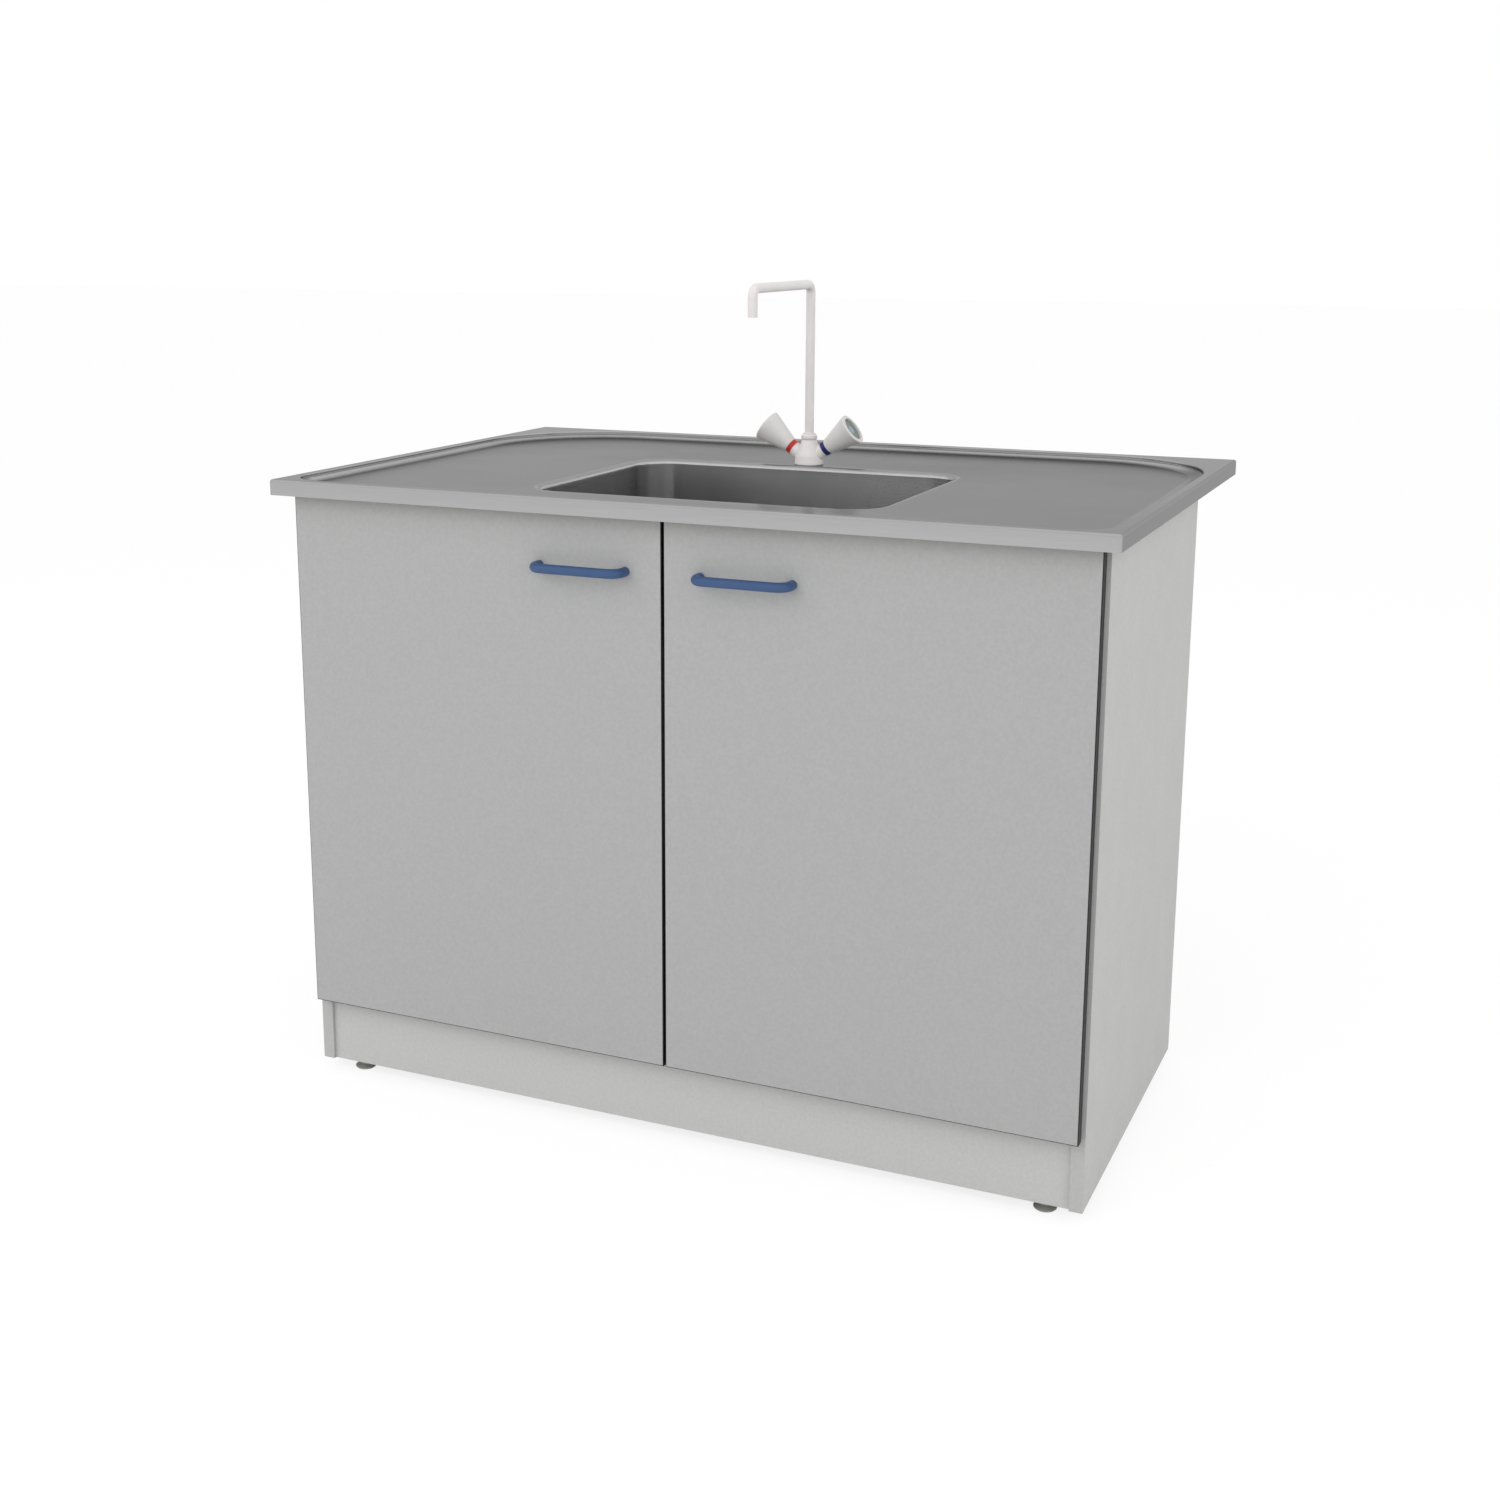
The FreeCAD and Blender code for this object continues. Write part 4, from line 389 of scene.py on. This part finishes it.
FINISHES = {
    CABINET: ("side_panel_left", "side_panel_right", "bottom_panel", "front_rail", "rear_rail",
              "rear_brace"),
    PLINTH: ("plinth",),
    DOOR: ("door_left", "door_right"),
    EDGING: ("door_edging_left", "door_edging_right"),
    BOWL_STEEL: ("sink_bowl",),
    STRAINER_STEEL: ("strainer_flange", "strainer_screw"),
    BOARD: ("worktop_core",),
    ZINC: ("cam_housings", "cam_bolts", "worktop_screws", "panel_screws", "foot_brackets",
           "foot_nuts", "hinge_arms", "hinge_plates", "hinge_cups_left", "hinge_cups_right",
           "hinge_pins_left", "hinge_pins_right", "bow_screws_left", "bow_screws_right",
           "shank_washer"),
    FOOT: ("levelling_feet",),
    BLUE_COAT: ("bow_handle_left", "bow_handle_right"),
    WHITE_COAT: ("tap_body", "spout_tube", "spout_collar"),
    HANDLE_WHITE: ("tap_handle_hot", "tap_handle_cold"),
    WASTE_WHITE: ("waste_body", "trap_dip_tube", "trap_nuts", "trap_housing", "trap_cup",
                  "waste_pipe"),
    RED: ("index_ring_hot",),
    NAVY: ("index_ring_cold",),
    CAP_HOT: ("index_cap_hot",),
    CAP_COLD: ("index_cap_cold",),
    BRASS: ("tap_shank", "shank_nut", "valve_bonnets", "valve_spindle_hot", "valve_spindle_cold"),
    COPPER: ("supply_tail_hot", "supply_tail_cold"),
    RUBBER: ("waste_seals", "door_bumpers"),
    PALE_RUBBER: ("tap_gasket",),
}

for finish, names in FINISHES.items():
    for name in names:
        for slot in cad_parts[name].material_slots:
            slot.material = finish

# ---------------------------------------------------------------- worktop

# The sheet of the worktop in plan and in height.
WORKTOP_HALF_LENGTH, WORKTOP_HALF_DEPTH, WORKTOP_Y = 0.600, 0.400, 0.00325
RIM_LEVEL, LIP_LEVEL, DECK_LEVEL = 0.900, 0.878, 0.891
SHEET_THICKNESS = 0.001
LIP_CORNER, EDGE_ROUNDING = 0.005, 0.0035
# The border of the recess in section: a flat rim, a small wall and a gentle slope to the deck.
RIM_FLAT = 0.0135
WALL_ANGLE, SLOPE_ANGLE = math.radians(86), math.radians(25)
RIM_BEND, WALL_HEIGHT, CREASE_BEND = 0.0018, 0.0020, 0.0010
RECESS_REAR_CORNER, RECESS_FRONT_CORNER = 0.200, 0.060
# The openings for the bowl and the tap.
BOWL_LAND_HALF_LENGTH, BOWL_LAND_HALF_WIDTH, BOWL_LAND_CORNER = 0.2625, 0.2055, 0.0585
BOWL_Y, TAP_Y, TAP_HOLE_RADIUS = -0.07775, 0.15125, 0.0175
CORNER_STEPS, BEND_STEPS = 32, 10
SAME_LEVEL, SAME_POINT = 1e-6, 1e-7
QUARTER_TURN = math.radians(90)
# The sheet's materials by their slots, each with its own painted light and shade.
RIM_SLOT, STEP_SLOT, DECK_SLOT = 0, 1, 2


def rounded_loop(half_x, half_y, corners, middle_y, level):
    """Points round a rectangle, anticlockwise from above.

    The corners are the radius at the rear and the radius at the front.
    """
    points = []
    for quarter in range(4):
        sign_x = 1 if quarter in (0, 3) else -1
        sign_y = 1 if quarter < 2 else -1
        corner = corners[0] if quarter < 2 else corners[1]
        for step in range(CORNER_STEPS + 1):
            turn = QUARTER_TURN * (quarter + step / CORNER_STEPS)
            x = sign_x * (half_x - corner) + corner * math.cos(turn)
            y = middle_y + sign_y * (half_y - corner) + corner * math.sin(turn)
            points.append((x, y, level))
    return points


def border_section():
    """Inset from the worktop's edge, corner radii and height, from the lip's foot to the deck."""
    section = [(0.0, (LIP_CORNER, LIP_CORNER), LIP_LEVEL)]
    for step in range(BEND_STEPS + 1):
        turn = QUARTER_TURN * step / BEND_STEPS
        inset = EDGE_ROUNDING * (1 - math.cos(turn))
        section.append((inset, (LIP_CORNER - inset, LIP_CORNER - inset),
                        RIM_LEVEL - EDGE_ROUNDING * (1 - math.sin(turn))))

    def recess(inset, level):
        inward = inset - RIM_FLAT
        section.append((inset, (RECESS_REAR_CORNER - inward, RECESS_FRONT_CORNER - inward), level))

    recess(RIM_FLAT, RIM_LEVEL)
    for step in range(1, BEND_STEPS + 1):
        turn = WALL_ANGLE * step / BEND_STEPS
        recess(RIM_FLAT + RIM_BEND * math.sin(turn), RIM_LEVEL - RIM_BEND * (1 - math.cos(turn)))
    inset = RIM_FLAT + RIM_BEND * math.sin(WALL_ANGLE) + WALL_HEIGHT / math.tan(WALL_ANGLE)
    level = RIM_LEVEL - RIM_BEND * (1 - math.cos(WALL_ANGLE)) - WALL_HEIGHT
    for step in range(BEND_STEPS + 1):
        turn = WALL_ANGLE + (SLOPE_ANGLE - WALL_ANGLE) * step / BEND_STEPS
        recess(inset + CREASE_BEND * (math.sin(WALL_ANGLE) - math.sin(turn)),
               level - CREASE_BEND * (math.cos(turn) - math.cos(WALL_ANGLE)))
    inset += CREASE_BEND * (math.sin(WALL_ANGLE) - math.sin(SLOPE_ANGLE))
    level -= CREASE_BEND * (math.cos(SLOPE_ANGLE) - math.cos(WALL_ANGLE))
    foot_bend = (level - DECK_LEVEL) / (1 - math.cos(SLOPE_ANGLE))
    foot = inset + foot_bend * math.sin(SLOPE_ANGLE)
    for step in range(1, BEND_STEPS + 1):
        turn = SLOPE_ANGLE * (1 - step / BEND_STEPS)
        recess(foot - foot_bend * math.sin(turn), DECK_LEVEL + foot_bend * (1 - math.cos(turn)))
    return section


def distinct(points):
    """The points without any that lies on the one before it or on the first."""
    kept = [points[0]]
    for point in points[1:]:
        if min(math.dist(point, kept[-1]), math.dist(point, kept[0])) > SAME_POINT:
            kept.append(point)
    return kept


def add_border(shape):
    """Lip, rounded edge, rim and step, as bands between rings."""
    section = border_section()
    rings = []
    for inset, corners, level in section:
        loop = rounded_loop(WORKTOP_HALF_LENGTH - inset, WORKTOP_HALF_DEPTH - inset, corners,
                            WORKTOP_Y, level)
        rings.append([shape.verts.new(point) for point in loop])
    for (inset, _, _), lower, upper in zip(section, rings, rings[1:]):
        for first in range(len(lower)):
            second = (first + 1) % len(lower)
            face = shape.faces.new((lower[first], lower[second], upper[second], upper[first]))
            face.material_index = STEP_SLOT if inset >= RIM_FLAT else RIM_SLOT


def add_deck(shape):
    """The flat deck inside the border, with openings for the bowl and the tap."""
    bowl = rounded_loop(BOWL_LAND_HALF_LENGTH, BOWL_LAND_HALF_WIDTH,
                        (BOWL_LAND_CORNER, BOWL_LAND_CORNER), BOWL_Y, DECK_LEVEL)
    hole = rounded_loop(TAP_HOLE_RADIUS, TAP_HOLE_RADIUS, (TAP_HOLE_RADIUS, TAP_HOLE_RADIUS),
                        TAP_Y, DECK_LEVEL)
    edges = [edge for edge in shape.edges if edge.is_boundary
             and all(abs(vertex.co.z - DECK_LEVEL) < SAME_LEVEL for vertex in edge.verts)]
    for outline in (bowl, distinct(hole)):
        corners = [shape.verts.new(point) for point in outline]
        edges += [shape.edges.new(pair) for pair in zip(corners, corners[1:] + corners[:1])]
    filled = bmesh.ops.triangle_fill(shape, edges=edges, use_beauty=True, normal=(0.0, 0.0, 1.0))
    for face in filled["geom"]:
        if isinstance(face, bmesh.types.BMFace):
            face.material_index = DECK_SLOT
            if face.normal.z < 0:
                face.normal_flip()


def make_worktop():
    """The pressed sheet, which takes the place of the CAD's plainer one."""
    shape = bmesh.new()
    add_border(shape)
    add_deck(shape)
    for face in shape.faces:
        face.smooth = True
    mesh = bpy.data.meshes.new("WorktopSheet")
    shape.to_mesh(mesh)
    shape.free()
    for finish in (RIM_STEEL, STEP_STEEL, DECK_STEEL):
        mesh.materials.append(finish)
    worktop = bpy.data.objects.new("worktop_sheet_pressed", mesh)
    bpy.context.scene.collection.objects.link(worktop)
    plate = worktop.modifiers.new("Thickness", "SOLIDIFY")
    plate.thickness = SHEET_THICKNESS
    plate.offset = -1.0
    worktop.modifiers.new("Normals", "WEIGHTED_NORMAL")
    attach(worktop, "cabinet")
    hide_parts("worktop_sheet")


make_worktop()

# ---------------------------------------------------------------- studio

WHITE = (1.0, 1.0, 1.0, 1.0)
WORLD_LIGHT = 0.75
# Brightness of the studio as metal shows it, by the upward part of the direction.
ROOM_TONES = ((0.0, 1.0), (0.12, 1.0), (0.20, 0.85), (0.30, 0.85), (0.36, 1.0), (1.0, 1.0))
FLOOR_HALF_SIZE, FLOOR_TONE = 30.0, (0.86, 0.86, 0.86)
FLOOR_GLOW, FLOOR_GLOW_SHARE = 1.12, 0.72


def seen_directly(nodes, links):
    """1 for rays from the camera, and those that show in metal or through glass."""
    path = nodes.new("ShaderNodeLightPath")
    total = path.outputs["Is Camera Ray"]
    for kind in ("Is Glossy Ray", "Is Transmission Ray"):
        add = nodes.new("ShaderNodeMath")
        add.operation = "ADD"
        add.use_clamp = True
        links.new(total, add.inputs[0])
        links.new(path.outputs[kind], add.inputs[1])
        total = add.outputs["Value"]
    return total


def make_world():
    """Even light all round, with a white background where it is seen.

    Metal shows that background a little darker between the backdrop and the ceiling.
    """
    world = bpy.data.worlds.new("Studio")
    bpy.context.scene.world = world
    world.use_nodes = True
    nodes, links = world.node_tree.nodes, world.node_tree.links
    light = nodes["Background"]
    light.inputs["Color"].default_value = WHITE
    light.inputs["Strength"].default_value = WORLD_LIGHT
    seen = nodes.new("ShaderNodeBackground")
    seen.inputs["Color"].default_value = WHITE
    way = nodes.new("ShaderNodeTexCoord")
    parts = nodes.new("ShaderNodeSeparateXYZ")
    links.new(way.outputs["Generated"], parts.inputs["Vector"])
    tones = nodes.new("ShaderNodeValToRGB")
    set_stops(tones, grey(ROOM_TONES))
    links.new(parts.outputs["Z"], tones.inputs["Fac"])
    straight = nodes.new("ShaderNodeLightPath")
    whole = nodes.new("ShaderNodeMath")
    whole.operation = "MAXIMUM"
    links.new(tones.outputs["Color"], whole.inputs[0])
    links.new(straight.outputs["Is Camera Ray"], whole.inputs[1])
    links.new(whole.outputs["Value"], seen.inputs["Strength"])
    mix = nodes.new("ShaderNodeMixShader")
    links.new(seen_directly(nodes, links), mix.inputs["Fac"])
    links.new(light.outputs["Background"], mix.inputs[1])
    links.new(seen.outputs["Background"], mix.inputs[2])
    links.new(mix.outputs["Shader"], nodes["World Output"].inputs["Surface"])


def make_floor():
    """A pale floor that keeps a faint shadow of the object."""
    reach = FLOOR_HALF_SIZE
    corners = [(-reach, -reach, 0.0), (reach, -reach, 0.0),
               (reach, reach, 0.0), (-reach, reach, 0.0)]
    mesh = bpy.data.meshes.new("Floor")
    mesh.from_pydata(corners, [], [(0, 1, 2, 3)])
    floor = bpy.data.objects.new("Floor", mesh)
    bpy.context.scene.collection.objects.link(floor)
    recipe = Recipe("FloorPaint", FLOOR_TONE, roughness=0.9, specular=0.0)
    nodes, links = recipe.nodes, recipe.links
    glow = nodes.new("ShaderNodeEmission")
    glow.inputs["Color"].default_value = WHITE
    glow.inputs["Strength"].default_value = FLOOR_GLOW
    share = nodes.new("ShaderNodeMath")
    share.operation = "MULTIPLY"
    share.inputs[1].default_value = FLOOR_GLOW_SHARE
    links.new(seen_directly(nodes, links), share.inputs[0])
    mix = nodes.new("ShaderNodeMixShader")
    links.new(share.outputs["Value"], mix.inputs["Fac"])
    links.new(recipe.shader.outputs["BSDF"], mix.inputs[1])
    links.new(glow.outputs["Emission"], mix.inputs[2])
    links.new(mix.outputs["Shader"], nodes["Material Output"].inputs["Surface"])
    mesh.materials.append(recipe.material)


def make_softbox(name, place, target, size, power):
    """A rectangular lamp that faces a target and doesn't show in metal."""
    lamp = bpy.data.lights.new(name, "AREA")
    lamp.shape = "RECTANGLE"
    lamp.size, lamp.size_y = size
    lamp.energy = power
    softbox = bpy.data.objects.new(name, lamp)
    aim = (Vector(target) - Vector(place)).to_track_quat("-Z", "Y")
    softbox.matrix_world = Matrix.Translation(place) @ aim.to_matrix().to_4x4()
    softbox.visible_glossy = False
    bpy.context.scene.collection.objects.link(softbox)


# The camera, fitted to the photo: in front, past the right-hand end, a little above the tap.
CAMERA_PLACE = (1.06495, -2.59827, 1.24797)
CAMERA_FORWARD = (-0.40295, 0.89057, -0.21100)
CAMERA_LENS, CAMERA_SENSOR = 46.245, 36.0
CAMERA_SHIFT_X, CAMERA_SHIFT_Y = 0.0317, -0.0722


def make_camera():
    """The camera at the photo's viewing angle, with no roll."""
    data = bpy.data.cameras.new("Camera")
    data.sensor_width = CAMERA_SENSOR
    data.lens = CAMERA_LENS
    data.shift_x = CAMERA_SHIFT_X
    data.shift_y = CAMERA_SHIFT_Y
    camera = bpy.data.objects.new("Camera", data)
    forward = Vector(CAMERA_FORWARD).normalized()
    right = forward.cross(Vector((0.0, 0.0, 1.0))).normalized()
    up = right.cross(forward)
    turn = Matrix((right, up, -forward)).transposed().to_4x4()
    camera.matrix_world = Matrix.Translation(CAMERA_PLACE) @ turn
    bpy.context.scene.collection.objects.link(camera)
    bpy.context.scene.camera = camera


make_world()
make_floor()
make_softbox("FrontSoftbox", place=(-1.6, -3.6, 2.6), target=(0.0, -0.2, 0.6), size=(4.5, 3.0),
             power=55.0)
make_softbox("SideSoftbox", place=(3.4, -1.2, 2.0), target=(0.3, 0.0, 0.6), size=(3.0, 3.0),
             power=30.0)
make_camera()
bpy.context.scene.view_settings.view_transform = "Standard"
